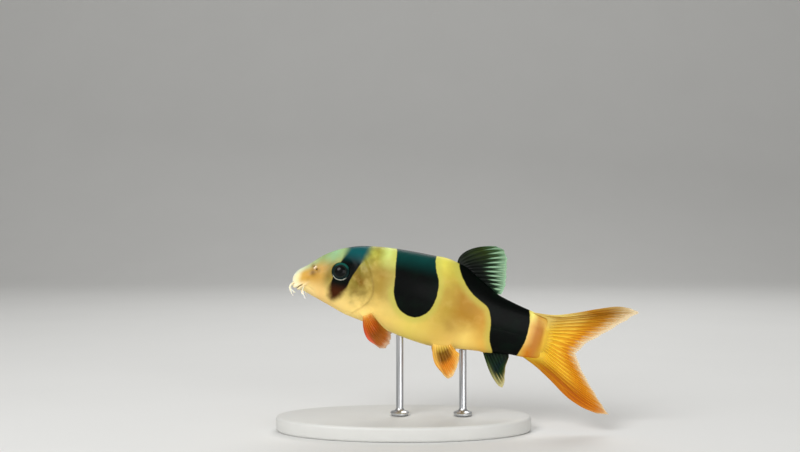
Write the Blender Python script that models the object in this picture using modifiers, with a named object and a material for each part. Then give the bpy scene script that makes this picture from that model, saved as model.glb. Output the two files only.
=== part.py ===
"""Clown loach, a still life-size model held over a small display stand.

The fish is worked out in its own frame and then set in place. A point there is
(along, side, up): along runs from the snout tip to the tail base, side is minus
on the fish's left, and up is away from the belly. Stations and heights in the
tables are shares of STANDARD_LENGTH. An angle called around turns about the body:
0 on the back, 90 on the left flank, 180 under the belly, 270 on the right flank.
"""

import math

import bmesh
import bpy
from mathutils import Vector

STANDARD_LENGTH = 0.105
PITCH = math.radians(13.0)
SNOUT_HEIGHT = 0.0608
TAIL_SWEEP = 0.010
SWEEP_START = 0.45
GAP = 0.0003

# Station, height of the back, height of the belly line, half of the body's width.
BODY_SECTIONS = (
    (0.000, 0.012, 0.012, 0.000),
    (0.013, 0.046, -0.017, 0.024),
    (0.050, 0.079, -0.026, 0.039),
    (0.100, 0.128, -0.041, 0.050),
    (0.160, 0.166, -0.059, 0.061),
    (0.230, 0.190, -0.079, 0.070),
    (0.300, 0.206, -0.090, 0.078),
    (0.400, 0.216, -0.104, 0.084),
    (0.500, 0.220, -0.119, 0.083),
    (0.580, 0.221, -0.124, 0.078),
    (0.640, 0.205, -0.119, 0.070),
    (0.700, 0.173, -0.109, 0.060),
    (0.780, 0.133, -0.099, 0.046),
    (0.860, 0.111, -0.087, 0.034),
    (0.940, 0.095, -0.084, 0.023),
    (1.000, 0.082, -0.080, 0.015),
)
WIDEST_SHARE = 0.46
BACK_FULLNESS = 1.12
BELLY_FULLNESS = 0.84

# The gill slit bulges back from the nape and throat to its rearmost point on the flank.
NAPE_STATION = 0.236
GILL_BULGE = 0.078
GILL_ANGLE = math.radians(96.0)
GILL_SPREAD = math.radians(44.0)
GILL_COVER_RAISE = 0.0006
GILL_COVER_RAMP = 0.030
STEM_STATION = 0.7785
STEM_SLANT = 0.0125
TAIL_END = 1.000

EYE_STATION = 0.1775
EYE_ANGLE = math.radians(73.0)
EYE_RADIUS = 0.0039
EYE_DEPTH = 0.0027
EYE_SINK = 0.0013
EYE_FORWARD = -0.13
EYE_UPWARD = 0.80

EYE_RIM_WIDTH = 0.0003
EYE_RIM_SPREAD = 0.0013
EYE_RIM_HEIGHT = 0.0014
EYE_RIM_DEPTH = 0.0010

MOUTH_STATION = 0.0210
MOUTH_CORNER_BACK = 0.042
MOUTH_HALF_ANGLE = math.radians(66.0)
MOUTH_SLIT = 0.0017
MOUTH_DEPTH = 0.0011
LIP_HEIGHT = 0.00062
LIP_SPACING = 0.0085
LIP_WIDTH = 0.0068
NOSTRIL_STATION = 0.080
NOSTRIL_ANGLE = math.radians(58.0)
NOSTRIL_RADIUS = 0.0009
NOSTRIL_HOLE_RADIUS = 0.0005
NOSTRIL_RAISE = 0.0005
NOSTRIL_DEPTH = 0.0009

BODY_SIDES = 36
HEAD_ROWS = 38
TRUNK_ROWS = 18
STEM_ROWS = 9
CAP_ROWS = 2

# Thickness of the web at the root and of its edge, and the web's share of a ray's size.
MEMBRANE = 0.0005
FIN_EDGE = 0.0003
WEB_SHARE = 0.62
WEB_REACH = 0.975
LOBE_RAYS = 10
LOBE_THICKNESS = 0.0022
LOBE_BOW = 0.004
EDGE_SHARE = 0.35

# Share across the fin from its front, station of the ray's root, station and height of its tip.
DORSAL_RAYS = (
    (0.00, 0.615, 0.742, 0.3105),
    (0.12, 0.622, 0.772, 0.305),
    (0.24, 0.631, 0.790, 0.285),
    (0.36, 0.640, 0.798, 0.262),
    (0.48, 0.651, 0.802, 0.236),
    (0.60, 0.668, 0.807, 0.211),
    (0.73, 0.692, 0.810, 0.186),
    (0.87, 0.726, 0.810, 0.160),
    (1.00, 0.776, 0.801, 0.133),
)
ANAL_RAYS = (
    (0.00, 0.770, 0.874, -0.2165),
    (0.15, 0.785, 0.885, -0.2195),
    (0.30, 0.797, 0.893, -0.208),
    (0.45, 0.811, 0.889, -0.185),
    (0.62, 0.829, 0.884, -0.161),
    (0.80, 0.852, 0.881, -0.133),
    (1.00, 0.878, 0.885, -0.098),
)
# Share across the lobe, station and height of the ray's root, station and height of its tip.
UPPER_LOBE_RAYS = (
    (0.00, 0.952, 0.0975, 1.296, 0.1955),
    (0.10, 0.988, 0.089, 1.333, 0.189),
    (0.16, 0.999, 0.0855, 1.326, 0.182),
    (0.24, 1.004, 0.075, 1.312, 0.169),
    (0.36, 1.004, 0.060, 1.288, 0.146),
    (0.52, 1.004, 0.044, 1.248, 0.108),
    (0.68, 1.004, 0.029, 1.206, 0.068),
    (0.84, 1.004, 0.015, 1.163, 0.027),
    (1.00, 1.004, 0.001, 1.131, -0.020),
)
LOWER_LOBE_RAYS = (
    (0.00, 0.952, -0.0895, 1.262, -0.2275),
    (0.10, 0.988, -0.0865, 1.302, -0.219),
    (0.16, 0.999, -0.0840, 1.295, -0.212),
    (0.24, 1.004, -0.075, 1.281, -0.200),
    (0.36, 1.004, -0.060, 1.259, -0.179),
    (0.52, 1.004, -0.044, 1.226, -0.145),
    (0.68, 1.004, -0.029, 1.191, -0.106),
    (0.84, 1.004, -0.015, 1.159, -0.068),
    (1.00, 1.004, -0.003, 1.130, -0.026),
)
# Reach along a lobe's edge ray, and how far it swells there from a straight line.
UPPER_EDGE = ((0, 0), (0.25, -0.014), (0.45, -0.008), (0.66, 0.004), (0.87, 0.0095), (1, 0))
LOWER_EDGE = ((0, 0), (0.2, 0.0), (0.35, 0.007), (0.65, 0.024), (0.79, 0.020), (1, 0))
# Share across the fin, station and height of the ray's tip, and how far out it is held.
PECTORAL_TIPS = (
    (0.00, 0.371, -0.156, 0.136),
    (0.15, 0.391, -0.162, 0.140),
    (0.30, 0.407, -0.157, 0.143),
    (0.45, 0.419, -0.143, 0.144),
    (0.60, 0.425, -0.128, 0.143),
    (0.75, 0.425, -0.116, 0.140),
    (0.88, 0.420, -0.107, 0.136),
    (1.00, 0.411, -0.0995, 0.131),
)
PELVIC_TIPS = (
    (0.00, 0.637, -0.206, 0.104),
    (0.15, 0.658, -0.219, 0.100),
    (0.30, 0.675, -0.219, 0.096),
    (0.45, 0.687, -0.203, 0.091),
    (0.62, 0.693, -0.179, 0.087),
    (0.80, 0.695, -0.150, 0.082),
    (1.00, 0.688, -0.121, 0.076),
)
PECTORAL_ROOT_FRONT = (0.298, math.radians(142.0))
PECTORAL_ROOT_REAR = (0.322, math.radians(119.0))
PECTORAL_BOW = (-0.0016, 0.0012, -0.0016)
PELVIC_ROOT_FRONT = (0.584, math.radians(155.0))
PELVIC_ROOT_REAR = (0.650, math.radians(150.0))
PELVIC_BOW = (-0.0014, 0.0009, -0.0004)
DORSAL_BOW = 0.090
ANAL_BOW = 0.004

BARBEL_RADIUS = 0.00055
BARBEL_TIP_RADIUS = 0.0002
BARBEL_POINTS = 8

BASE_LENGTH = 0.104
BASE_WIDTH = 0.052
BASE_THICKNESS = 0.006
BASE_BEVEL = 0.0012
BASE_SEGMENTS = 36
BASE_STATION = 0.47
ROD_RADIUS = 0.0015
ROD_FOOT_RADIUS = 0.0038
ROD_FOOT_HEIGHT = 0.0014
ROD_SEGMENTS = 12
FRONT_ROD_STATION = 0.455
REAR_ROD_STATION = 0.705


def clear_scene():
    for item in list(bpy.data.objects):
        bpy.data.objects.remove(item, do_unlink=True)


def new_collection(name):
    collection = bpy.data.collections.new(name)
    bpy.context.scene.collection.children.link(collection)
    return collection


def finish_material(name, colour, roughness, metallic=0.0):
    material = bpy.data.materials.new(name)
    material.use_nodes = True
    shader = material.node_tree.nodes["Principled BSDF"]
    shader.inputs["Base Color"].default_value = (*colour, 1.0)
    shader.inputs["Roughness"].default_value = roughness
    shader.inputs["Metallic"].default_value = metallic
    return material


def smooth_curve(points):
    """A smooth function through (x, value) points, each slope the mean of its neighbours' chords."""
    xs = [p[0] for p in points]
    values = [p[1] for p in points]
    chords = [(values[i + 1] - values[i]) / (xs[i + 1] - xs[i]) for i in range(len(xs) - 1)]
    slopes = [chords[0]]
    for i in range(1, len(xs) - 1):
        before = xs[i] - xs[i - 1]
        after = xs[i + 1] - xs[i]
        slopes.append((chords[i - 1] * after + chords[i] * before) / (before + after))
    slopes.append(chords[-1])

    def value(x):
        x = min(max(x, xs[0]), xs[-1])
        i = 0
        while i < len(xs) - 2 and x > xs[i + 1]:
            i += 1
        width = xs[i + 1] - xs[i]
        t = (x - xs[i]) / width
        start = values[i] * (1 + 2 * t) * (1 - t) ** 2 + slopes[i] * width * t * (1 - t) ** 2
        end = values[i + 1] * t * t * (3 - 2 * t) - slopes[i + 1] * width * t * t * (1 - t)
        return start + end

    return value


# The profiles run over the square root of the station, which gives the snout its round end.
BACK_HEIGHT = smooth_curve([(math.sqrt(s), top) for s, top, _, _ in BODY_SECTIONS])
BELLY_HEIGHT = smooth_curve([(math.sqrt(s), bottom) for s, _, bottom, _ in BODY_SECTIONS])
HALF_WIDTH = smooth_curve([(math.sqrt(s), width) for s, _, _, width in BODY_SECTIONS])


def smooth_step(x):
    x = min(max(x, 0.0), 1.0)
    return x * x * (3 - 2 * x)


def bump(x, width):
    return math.exp(-((x / width) ** 2))


def skin_point(along, around):
    """The plain surface of the body, in metres, in the fish's own frame."""
    root = math.sqrt(max(along, 0.0))
    top = BACK_HEIGHT(root)
    bottom = BELLY_HEIGHT(root)
    middle = bottom + WIDEST_SHARE * (top - bottom)
    sine = math.sin(around)
    cosine = math.cos(around)
    reach = top - middle if cosine > 0 else middle - bottom
    fullness = BACK_FULLNESS if cosine > 0 else BELLY_FULLNESS
    side = -HALF_WIDTH(root) * math.copysign(abs(sine) ** fullness, sine)
    up = middle + reach * cosine
    return Vector((along, side, up)) * STANDARD_LENGTH


def skin_normal(along, around):
    step = 0.002
    ahead = skin_point(along + step, around) - skin_point(max(along - step, 0.0), around)
    turn = skin_point(along, around + step) - skin_point(along, around - step)
    return turn.cross(ahead).normalized()


def in_place(point):
    """Carries a point of the fish's own frame to where the model stands."""
    along, side, up = point
    past = max(along / STANDARD_LENGTH - SWEEP_START, 0.0)
    return Vector((
        along * math.cos(PITCH) + up * math.sin(PITCH),
        side - TAIL_SWEEP * past * past,
        SNOUT_HEIGHT - along * math.sin(PITCH) + up * math.cos(PITCH),
    ))


def gill_station(around):
    """Where the gill slit and the join of head and trunk cross this angle."""
    turned = around if around <= math.pi else 2 * math.pi - around
    return NAPE_STATION + GILL_BULGE * bump(turned - GILL_ANGLE, GILL_SPREAD)


def stem_station(around):
    """The join of trunk and tail stem, behind the dorsal fin and before the anal fin."""
    return STEM_STATION + STEM_SLANT * math.cos(around)


def tail_station(_around):
    return TAIL_END


def mouth_station(swing):
    """Station of the mouth's line, which curves back from the middle to its corners."""
    return MOUTH_STATION + MOUTH_CORNER_BACK * (1 - math.cos(swing))


def head_relief(along, around):
    """Height of the lips and the gill cover above the plain surface."""
    before_slit = gill_station(around) - along
    turned = around if around <= math.pi else 2 * math.pi - around
    on_flank = bump(turned - GILL_ANGLE, GILL_SPREAD)
    cover = GILL_COVER_RAISE * on_flank * (1 - smooth_step(before_slit / GILL_COVER_RAMP))
    swing = abs(around - math.pi)
    past_line = along - mouth_station(swing)
    lips = bump(past_line - LIP_SPACING, LIP_WIDTH) + bump(past_line + LIP_SPACING, LIP_WIDTH)
    return cover + LIP_HEIGHT * lips * (1 - smooth_step((swing / MOUTH_HALF_ANGLE - 0.9) / 0.4))


def no_relief(_along, _around):
    return 0.0


def body_length(name, rows, start_station, end_station, relief, start_shift=0.0):
    """One closed length of the body between two stations, either of which may vary around it."""
    total = rows + CAP_ROWS * (start_station is not None) + CAP_ROWS * (end_station is not None)
    bm = bmesh.new()
    bmesh.ops.create_uvsphere(bm, u_segments=BODY_SIDES, v_segments=total, radius=1.0)
    lead = CAP_ROWS if start_station is not None else 0

    def station(around, share):
        first = start_station(around) + start_shift if start_station else 0.0
        last = end_station(around)
        root = math.sqrt(first) + share * (math.sqrt(last) - math.sqrt(first))
        return root * root

    def centre(join, shift):
        quarter = [skin_point(join(turn) + shift, turn) for turn in (0.0, 0.5 * math.pi, math.pi)]
        return Vector((quarter[1].x, 0.0, 0.5 * (quarter[0].z + quarter[2].z)))

    for vertex in bm.verts:
        row = round(math.acos(max(-1.0, min(1.0, vertex.co.z))) / math.pi * total)
        around = math.atan2(vertex.co.y, vertex.co.x) % (2 * math.pi)
        if row < lead:
            rim = skin_point(station(around, 0.0), around)
            point = centre(start_station, start_shift).lerp(rim, row / lead)
        elif row > lead + rows:
            rim = skin_point(station(around, 1.0), around)
            point = rim.lerp(centre(end_station, 0.0), (row - lead - rows) / CAP_ROWS)
        else:
            along = station(around, (row - lead) / rows)
            point = skin_point(along, around)
            if along > 0:
                point += relief(along, around) * skin_normal(along, around)
        vertex.co = in_place(point)
    return object_from(bm, name)


def object_from(bm, name):
    """Turns a closed shape's faces outwards and makes it an object."""
    bmesh.ops.recalc_face_normals(bm, faces=bm.faces)
    if bm.calc_volume(signed=True) < 0:
        bmesh.ops.reverse_faces(bm, faces=bm.faces)
    mesh = bpy.data.meshes.new(name)
    bm.to_mesh(mesh)
    bm.free()
    return bpy.data.objects.new(name, mesh)


def eye_frame(right):
    """The eye's centre and the way that it looks, in the fish's own frame."""
    around = 2 * math.pi - EYE_ANGLE if right else EYE_ANGLE
    outwards = skin_normal(EYE_STATION, around)
    outwards.x = EYE_FORWARD
    outwards.z *= EYE_UPWARD
    outwards.normalize()
    return skin_point(EYE_STATION, around) - outwards * EYE_SINK, outwards


def eye_ball(name, right, wider, deeper, segments):
    """A lens-shaped ball, flattened along the way that the eye looks."""
    centre, outwards = eye_frame(right)
    bm = bmesh.new()
    bmesh.ops.create_uvsphere(bm, u_segments=segments, v_segments=segments // 2, radius=1.0)
    turn = outwards.to_track_quat("Z", "Y").to_matrix()
    size = Vector((EYE_RADIUS + wider, EYE_RADIUS + wider, EYE_DEPTH + deeper))
    for vertex in bm.verts:
        vertex.co = in_place(centre + turn @ Vector(a * b for a, b in zip(vertex.co, size)))
    return object_from(bm, name)


def seated_cone(name, seat, outwards, wide, narrow, inside, outside, segments):
    """A short cone on a seat in the head, from a depth inside it to a height outside it."""
    turn = outwards.to_track_quat("Z", "Y").to_matrix()
    middle = seat + outwards * (0.5 * (outside - inside))
    bm = bmesh.new()
    bmesh.ops.create_cone(
        bm, cap_ends=True, segments=segments, radius1=wide, radius2=narrow, depth=inside + outside
    )
    for vertex in bm.verts:
        vertex.co = in_place(middle + turn @ vertex.co)
    return object_from(bm, name)


def eye_rim(name, right):
    seat, outwards = eye_frame(right)
    wide = EYE_RADIUS + EYE_RIM_SPREAD
    narrow = EYE_RADIUS + EYE_RIM_WIDTH
    return seated_cone(name, seat, outwards, wide, narrow, EYE_RIM_DEPTH, EYE_RIM_HEIGHT, 28)


def nostril_cone(name, right, wide, narrow, inside, outside):
    around = 2 * math.pi - NOSTRIL_ANGLE if right else NOSTRIL_ANGLE
    seat = skin_point(NOSTRIL_STATION, around)
    outwards = skin_normal(NOSTRIL_STATION, around)
    return seated_cone(name, seat, outwards, wide, narrow, inside, outside, 10)


def mouth_blade(name):
    """A thin curved blade along the line of the mouth, which tapers to the corners."""
    bm = bmesh.new()
    bmesh.ops.create_grid(bm, x_segments=14, y_segments=1, size=0.5)
    made = bmesh.ops.extrude_face_region(bm, geom=bm.faces[:], use_keep_orig=True)
    for vertex in made["geom"]:
        if isinstance(vertex, bmesh.types.BMVert):
            vertex.co.z = 1.0
    for vertex in bm.verts:
        swing = 2 * MOUTH_HALF_ANGLE * vertex.co.x
        face = 1 if vertex.co.z > 0.5 else -1
        open_share = 0.25 + 0.75 * math.sqrt(max(1 - 4 * vertex.co.x ** 2, 0.0))
        station = mouth_station(swing) + 0.5 * face * MOUTH_SLIT * open_share
        outwards = skin_normal(mouth_station(swing), math.pi + swing)
        depth = LIP_HEIGHT + MOUTH_SLIT if vertex.co.y > 0 else -MOUTH_DEPTH * open_share
        vertex.co = in_place(skin_point(station, math.pi + swing) + outwards * depth)
    return object_from(bm, name)


def fin(name, rays, rows, root, tip, bow, thickness):
    """A fin as one closed blade, with a ridge for each ray and a thin web between rays.

    root(share) gives a ray's foot in the fish's own frame and the way out of the body there,
    and tip(share) gives the ray's end. bow(share, reach) bends the ray between them.
    """
    columns = 2 * rays

    def middle(share, reach):
        return root(share)[0].lerp(tip(share), reach) + bow(share, reach)

    def through(share, reach):
        spread = middle(min(share + 0.02, 1.0), reach) - middle(max(share - 0.02, 0.0), reach)
        outwards = middle(share, min(reach + 0.02, 1.0)) - middle(share, reach - 0.02)
        return spread.cross(outwards).normalized()

    def seat(share, face):
        foot, out_of_body = root(share)
        way = through(share, 1 / rows)
        way -= out_of_body * way.dot(out_of_body)
        return foot + way.normalized() * (0.5 * face * thickness)

    bm = bmesh.new()
    bmesh.ops.create_grid(bm, x_segments=rows, y_segments=columns, size=0.5)
    bmesh.ops.triangulate(bm, faces=bm.faces, quad_method="FIXED")
    made = bmesh.ops.extrude_face_region(bm, geom=bm.faces[:], use_keep_orig=True)
    for vertex in made["geom"]:
        if isinstance(vertex, bmesh.types.BMVert):
            vertex.co.z = 1.0
    for vertex in bm.verts:
        out = vertex.co.x + 0.5
        share = vertex.co.y + 0.5
        face = 1 if vertex.co.z > 0.5 else -1
        on_ray = round(share * columns) % 2
        if out < 0.5 / rows:
            point = seat(share, face)
        else:
            reach = out if on_ray else out * WEB_REACH
            thick = thickness * (1.0 if on_ray else WEB_SHARE) * (1 - out) ** 0.7
            thick = max(thick, MEMBRANE * (1 - out) + FIN_EDGE * out)
            point = middle(share, reach) + through(share, reach) * (0.5 * face * thick)
        vertex.co = in_place(point)
    bmesh.ops.triangulate(bm, faces=[f for f in bm.faces if len(f.verts) > 3])
    return object_from(bm, name)


def tip_curve(table, first):
    along = smooth_curve([(row[0], row[first]) for row in table])
    up = smooth_curve([(row[0], row[first + 1]) for row in table])
    return lambda share: Vector((along(share), 0.0, up(share))) * STANDARD_LENGTH


def median_fin(name, table, around, rays, rows, thickness, front_bow):
    """The dorsal or the anal fin, whose foot follows the back or the belly."""
    station = smooth_curve([(row[0], row[1]) for row in table])

    def root(share):
        outwards = skin_normal(station(share), around)
        return skin_point(station(share), around) + outwards * GAP, outwards

    def bow(share, reach):
        size = front_bow * STANDARD_LENGTH * (1 - share) ** 3
        return Vector((-0.55, 0.0, 0.84 * math.cos(around))) * (size * math.sqrt(reach) * (1 - reach))

    return fin(name, rays, rows, root, tip_curve(table, 2), bow, thickness)


def tail_lobe(name, table, edge, sign):
    """One lobe of the tail fin, from its strong edge ray to the middle of the fork."""
    foot_at = tip_curve(table, 1)
    swell = smooth_curve(edge)

    def root(share):
        return foot_at(share), Vector((1.0, 0.0, 0.0))

    def bow(share, reach):
        outer = 1 - smooth_step(share / EDGE_SHARE)
        rise = STANDARD_LENGTH * swell(reach) * outer + LOBE_BOW * (1 - outer) * reach * (1 - reach)
        return Vector((0.0, 0.0, sign * rise * (1 - share)))

    return fin(name, LOBE_RAYS, 10, root, tip_curve(table, 3), bow, LOBE_THICKNESS)


def paired_fin(name, right, tips, front, rear, bend, rays, rows, thickness):
    """A pectoral or pelvic fin, rooted on the flank and held out from the body."""
    hand = 1 if right else -1
    flat_tip = tip_curve(tips, 1)
    held_out = smooth_curve([(row[0], row[3]) for row in tips])

    def root(share):
        station = front[0] + (rear[0] - front[0]) * share
        angle = front[1] + (rear[1] - front[1]) * share
        angle = 2 * math.pi - angle if right else angle
        outwards = skin_normal(station, angle)
        return skin_point(station, angle) + outwards * GAP, outwards

    def tip(share):
        return flat_tip(share) + Vector((0.0, hand * STANDARD_LENGTH * held_out(share), 0.0))

    def bow(share, reach):
        front = Vector((bend[0], hand * bend[1], bend[2]))
        return front * ((1 - 0.85 * share) * 4 * reach * (1 - reach))

    return fin(name, rays, rows, root, tip, bow, thickness)


def barbel(name, station, around, length, curl_way, curl, right):
    """A soft feeler that leaves the skin square and curls over towards one direction."""
    angle = 2 * math.pi - around if right else around
    way_out = skin_normal(station, angle)
    place = skin_point(station, angle) + way_out * (head_relief(station, angle) + GAP)
    curl_way = Vector((curl_way[0], curl_way[1] * (1 if right else -1), curl_way[2]))
    curl_way = (curl_way - way_out * curl_way.dot(way_out)).normalized()
    curve = bpy.data.curves.new(name, "CURVE")
    curve.dimensions = "3D"
    curve.fill_mode = "FULL"
    curve.bevel_depth = BARBEL_RADIUS
    curve.bevel_resolution = 1
    curve.use_fill_caps = True
    spline = curve.splines.new("POLY")
    spline.points.add(BARBEL_POINTS - 1)
    for i, point in enumerate(spline.points):
        t = i / (BARBEL_POINTS - 1)
        point.co = (*in_place(place), 1.0)
        point.radius = 1 + (BARBEL_TIP_RADIUS / BARBEL_RADIUS - 1) * t
        turned = curl * smooth_step(1.3 * t)
        step = length / (BARBEL_POINTS - 1)
        place = place + (way_out * math.cos(turned) + curl_way * math.sin(turned)) * step
    return bpy.data.objects.new(name, curve)


def stand_base(name):
    centre = in_place(skin_point(BASE_STATION, math.pi))
    bm = bmesh.new()
    bmesh.ops.create_cone(
        bm, cap_ends=True, segments=BASE_SEGMENTS, radius1=0.5, radius2=0.5, depth=1.0
    )
    size = Vector((BASE_LENGTH, BASE_WIDTH, BASE_THICKNESS))
    for vertex in bm.verts:
        vertex.co = Vector(a * b for a, b in zip(vertex.co, size))
    bmesh.ops.translate(bm, verts=bm.verts, vec=(centre.x, 0.0, 0.5 * BASE_THICKNESS))
    base = object_from(bm, name)
    bevel = base.modifiers.new("rim", "BEVEL")
    bevel.width = BASE_BEVEL
    bevel.segments = 2
    bevel.limit_method = "ANGLE"
    return base


def stand_rod(name, station):
    """A rod with a turned foot, its top cut to the slope of the belly just above it."""
    belly = in_place(skin_point(station, math.pi))
    fore = in_place(skin_point(station - 0.01, math.pi))
    aft = in_place(skin_point(station + 0.01, math.pi))
    slope = (aft.z - fore.z) / (aft.x - fore.x)
    foot = BASE_THICKNESS + GAP
    profile = (
        (0.0, foot),
        (ROD_FOOT_RADIUS, foot),
        (ROD_FOOT_RADIUS, foot + ROD_FOOT_HEIGHT),
        (ROD_RADIUS, foot + 2 * ROD_FOOT_HEIGHT),
        (ROD_RADIUS, belly.z),
        (0.0, belly.z),
    )
    bm = bmesh.new()
    rim = [bm.verts.new((radius, 0.0, height)) for radius, height in profile]
    edges = [bm.edges.new(pair) for pair in zip(rim, rim[1:])]
    bmesh.ops.spin(
        bm, geom=rim + edges, cent=(0, 0, 0), axis=(0, 0, 1), angle=2 * math.pi,
        steps=ROD_SEGMENTS, use_merge=True,
    )
    bmesh.ops.remove_doubles(bm, verts=bm.verts, dist=1e-6)
    for vertex in bm.verts:
        if vertex.co.z > belly.z - 1e-6:
            vertex.co.z += slope * vertex.co.x - GAP
    bmesh.ops.translate(bm, verts=bm.verts, vec=(belly.x, belly.y, 0.0))
    return object_from(bm, name)


def shade_round(item, angle):
    item.data.shade_smooth()
    item.data.set_sharp_from_angle(angle=math.radians(angle))


def make_body(add):
    skin = finish_material("loach_skin", (0.66, 0.42, 0.09), 0.35)
    dark = finish_material("loach_black_band", (0.004, 0.009, 0.006), 0.35)
    head = body_length("head", HEAD_ROWS, None, gill_station, head_relief)
    slit = 1.2 * GAP / STANDARD_LENGTH
    trunk = body_length("trunk", TRUNK_ROWS, gill_station, stem_station, no_relief, slit)
    stem = body_length("tail_stem", STEM_ROWS, stem_station, tail_station, no_relief, slit)
    for piece, material in ((head, skin), (trunk, skin), (stem, dark)):
        add(piece, material)
    shape_head(head)
    for piece in (head, trunk, stem):
        shade_round(piece, 40)
    eye_black = finish_material("loach_eye", (0.01, 0.012, 0.012), 0.08)
    for side, right in (("left", False), ("right", True)):
        eye = eye_ball(f"eye_{side}", right, 0.0, 0.0, 20)
        eye.data.shade_smooth()
        add(eye, eye_black)


def shape_head(head):
    """Adds the eye rims and nostril tubes to the head, then cuts sockets, nostrils and mouth."""
    unions = []
    cuts = [mouth_blade("mouth_line")]
    for side, right in (("left", False), ("right", True)):
        unions.append(eye_rim(f"eye_rim_{side}", right))
        unions.append(nostril_cone(
            f"nostril_tube_{side}", right, 1.3 * NOSTRIL_RADIUS, NOSTRIL_RADIUS,
            NOSTRIL_DEPTH, NOSTRIL_RAISE,
        ))
        cuts.append(eye_ball(f"socket_{side}", right, GAP, GAP, 28))
        cuts.append(nostril_cone(
            f"nostril_{side}", right, NOSTRIL_HOLE_RADIUS, NOSTRIL_HOLE_RADIUS,
            0.5 * NOSTRIL_DEPTH, 2 * NOSTRIL_RAISE,
        ))
    cutters = new_collection("cutters")
    for operation, shapes in (("UNION", unions), ("DIFFERENCE", cuts)):
        for shape in shapes:
            shape.hide_render = True
            shape.display_type = "WIRE"
            cutters.objects.link(shape)
            change = head.modifiers.new(shape.name, "BOOLEAN")
            change.operation = operation
            change.solver = "EXACT"
            change.object = shape
    shaped = head.evaluated_get(bpy.context.evaluated_depsgraph_get())
    bm = bmesh.new()
    bm.from_mesh(shaped.to_mesh())
    shaped.to_mesh_clear()
    keep_largest_body(bm)
    head.modifiers.clear()
    bm.to_mesh(head.data)
    bm.free()
    for shape in unions + cuts:
        bpy.data.objects.remove(shape, do_unlink=True)
    bpy.data.collections.remove(cutters)


def keep_largest_body(bm):
    """Splits the faces into triangles and drops every closed surface but the largest."""
    bmesh.ops.triangulate(bm, faces=bm.faces[:])
    left = set(bm.faces)
    largest = set()
    while left:
        found = {left.pop()}
        edge_of_found = list(found)
        while edge_of_found:
            face = edge_of_found.pop()
            plain_edges = [edge for edge in face.edges if len(edge.link_faces) == 2]
            for neighbour in {other for edge in plain_edges for other in edge.link_faces}:
                if neighbour in left:
                    left.remove(neighbour)
                    found.add(neighbour)
                    edge_of_found.append(neighbour)
        if len(found) > len(largest):
            largest = found
    bmesh.ops.delete(bm, geom=[face for face in bm.faces if face not in largest], context="FACES")


def make_median_fins(add):
    dark = finish_material("loach_dark_fin", (0.01, 0.03, 0.01), 0.45)
    gold = finish_material("loach_tail_fin", (0.72, 0.30, 0.02), 0.45)
    fins = (
        (median_fin("dorsal_fin", DORSAL_RAYS, 0.0, 10, 9, 0.0013, DORSAL_BOW), dark),
        (median_fin("anal_fin", ANAL_RAYS, math.pi, 7, 7, 0.0012, ANAL_BOW), dark),
        (tail_lobe("caudal_fin_upper", UPPER_LOBE_RAYS, UPPER_EDGE, 1), gold),
        (tail_lobe("caudal_fin_lower", LOWER_LOBE_RAYS, LOWER_EDGE, -1), gold),
    )
    for piece, material in fins:
        add(piece, material)


def make_paired_fins(add):
    orange = finish_material("loach_paired_fin", (0.60, 0.16, 0.01), 0.45)
    for side, right in (("left", False), ("right", True)):
        pectoral = paired_fin(
            f"pectoral_fin_{side}", right, PECTORAL_TIPS, PECTORAL_ROOT_FRONT,
            PECTORAL_ROOT_REAR, PECTORAL_BOW, 9, 7, 0.0012,
        )
        pelvic = paired_fin(
            f"pelvic_fin_{side}", right, PELVIC_TIPS, PELVIC_ROOT_FRONT,
            PELVIC_ROOT_REAR, PELVIC_BOW, 7, 6, 0.0011,
        )
        add(pectoral, orange)
        add(pelvic, orange)


def make_barbels(add):
    pale = finish_material("loach_barbel", (0.85, 0.80, 0.55), 0.4)
    kinds = (
        ("rostral_inner", 0.0040, 152, 0.0052, (0.25, 0.15, -1.0), 118),
        ("rostral_outer", 0.0080, 118, 0.0064, (-0.10, 0.20, -1.0), 105),
        ("maxillary", 0.0520, 127, 0.0058, (0.55, 0.10, -1.0), 78),
        ("mandibular", 0.0440, 164, 0.0022, (1.0, 0.0, -0.2), 50),
    )
    for kind, station, around, length, curl_way, curl in kinds:
        for side, right in (("left", False), ("right", True)):
            feeler = barbel(
                f"barbel_{kind}_{side}", station, math.radians(around), length, curl_way,
                math.radians(curl), right,
            )
            add(feeler, pale)


def make_stand(add):
    board = finish_material("stand_board", (0.62, 0.62, 0.60), 0.5)
    steel = finish_material("stand_steel", (0.6, 0.6, 0.6), 0.3, 1.0)
    add(stand_base("stand_base"), board)
    for name, station in (("front", FRONT_ROD_STATION), ("rear", REAR_ROD_STATION)):
        rod = stand_rod(f"stand_rod_{name}", station)
        shade_round(rod, 40)
        add(rod, steel)


def centre_over_origin(collection, holder):
    """Moves the holder of all the pieces so that their bounds stand centred on the origin."""
    bpy.context.view_layer.update()
    corners = [item.matrix_world @ Vector(c) for item in collection.objects for c in item.bound_box]
    xs = [corner.x for corner in corners]
    ys = [corner.y for corner in corners]
    holder.location = (-0.5 * (min(xs) + max(xs)), -0.5 * (min(ys) + max(ys)), 0.0)


def main():
    clear_scene()
    parts = new_collection("clown_loach")
    holder = bpy.data.objects.new("model_origin", None)
    bpy.context.scene.collection.objects.link(holder)

    def add(item, material):
        item.data.materials.append(material)
        item.parent = holder
        parts.objects.link(item)

    make_body(add)
    make_median_fins(add)
    make_paired_fins(add)
    make_barbels(add)
    make_stand(add)
    centre_over_origin(parts, holder)


main()
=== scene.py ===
"""Clown loach: the finish of the life-size model, with its light, floor and camera.

The skin and the fins are worked out in the fish's own frame and then set in place. A
point there is (along, side, up) in metres. Stations and heights are shares of
STANDARD_LENGTH. An angle called around turns about the body: 0 on the back, 90 degrees on
the left flank, 180 under the belly, 270 on the right flank.
"""

import math

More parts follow.
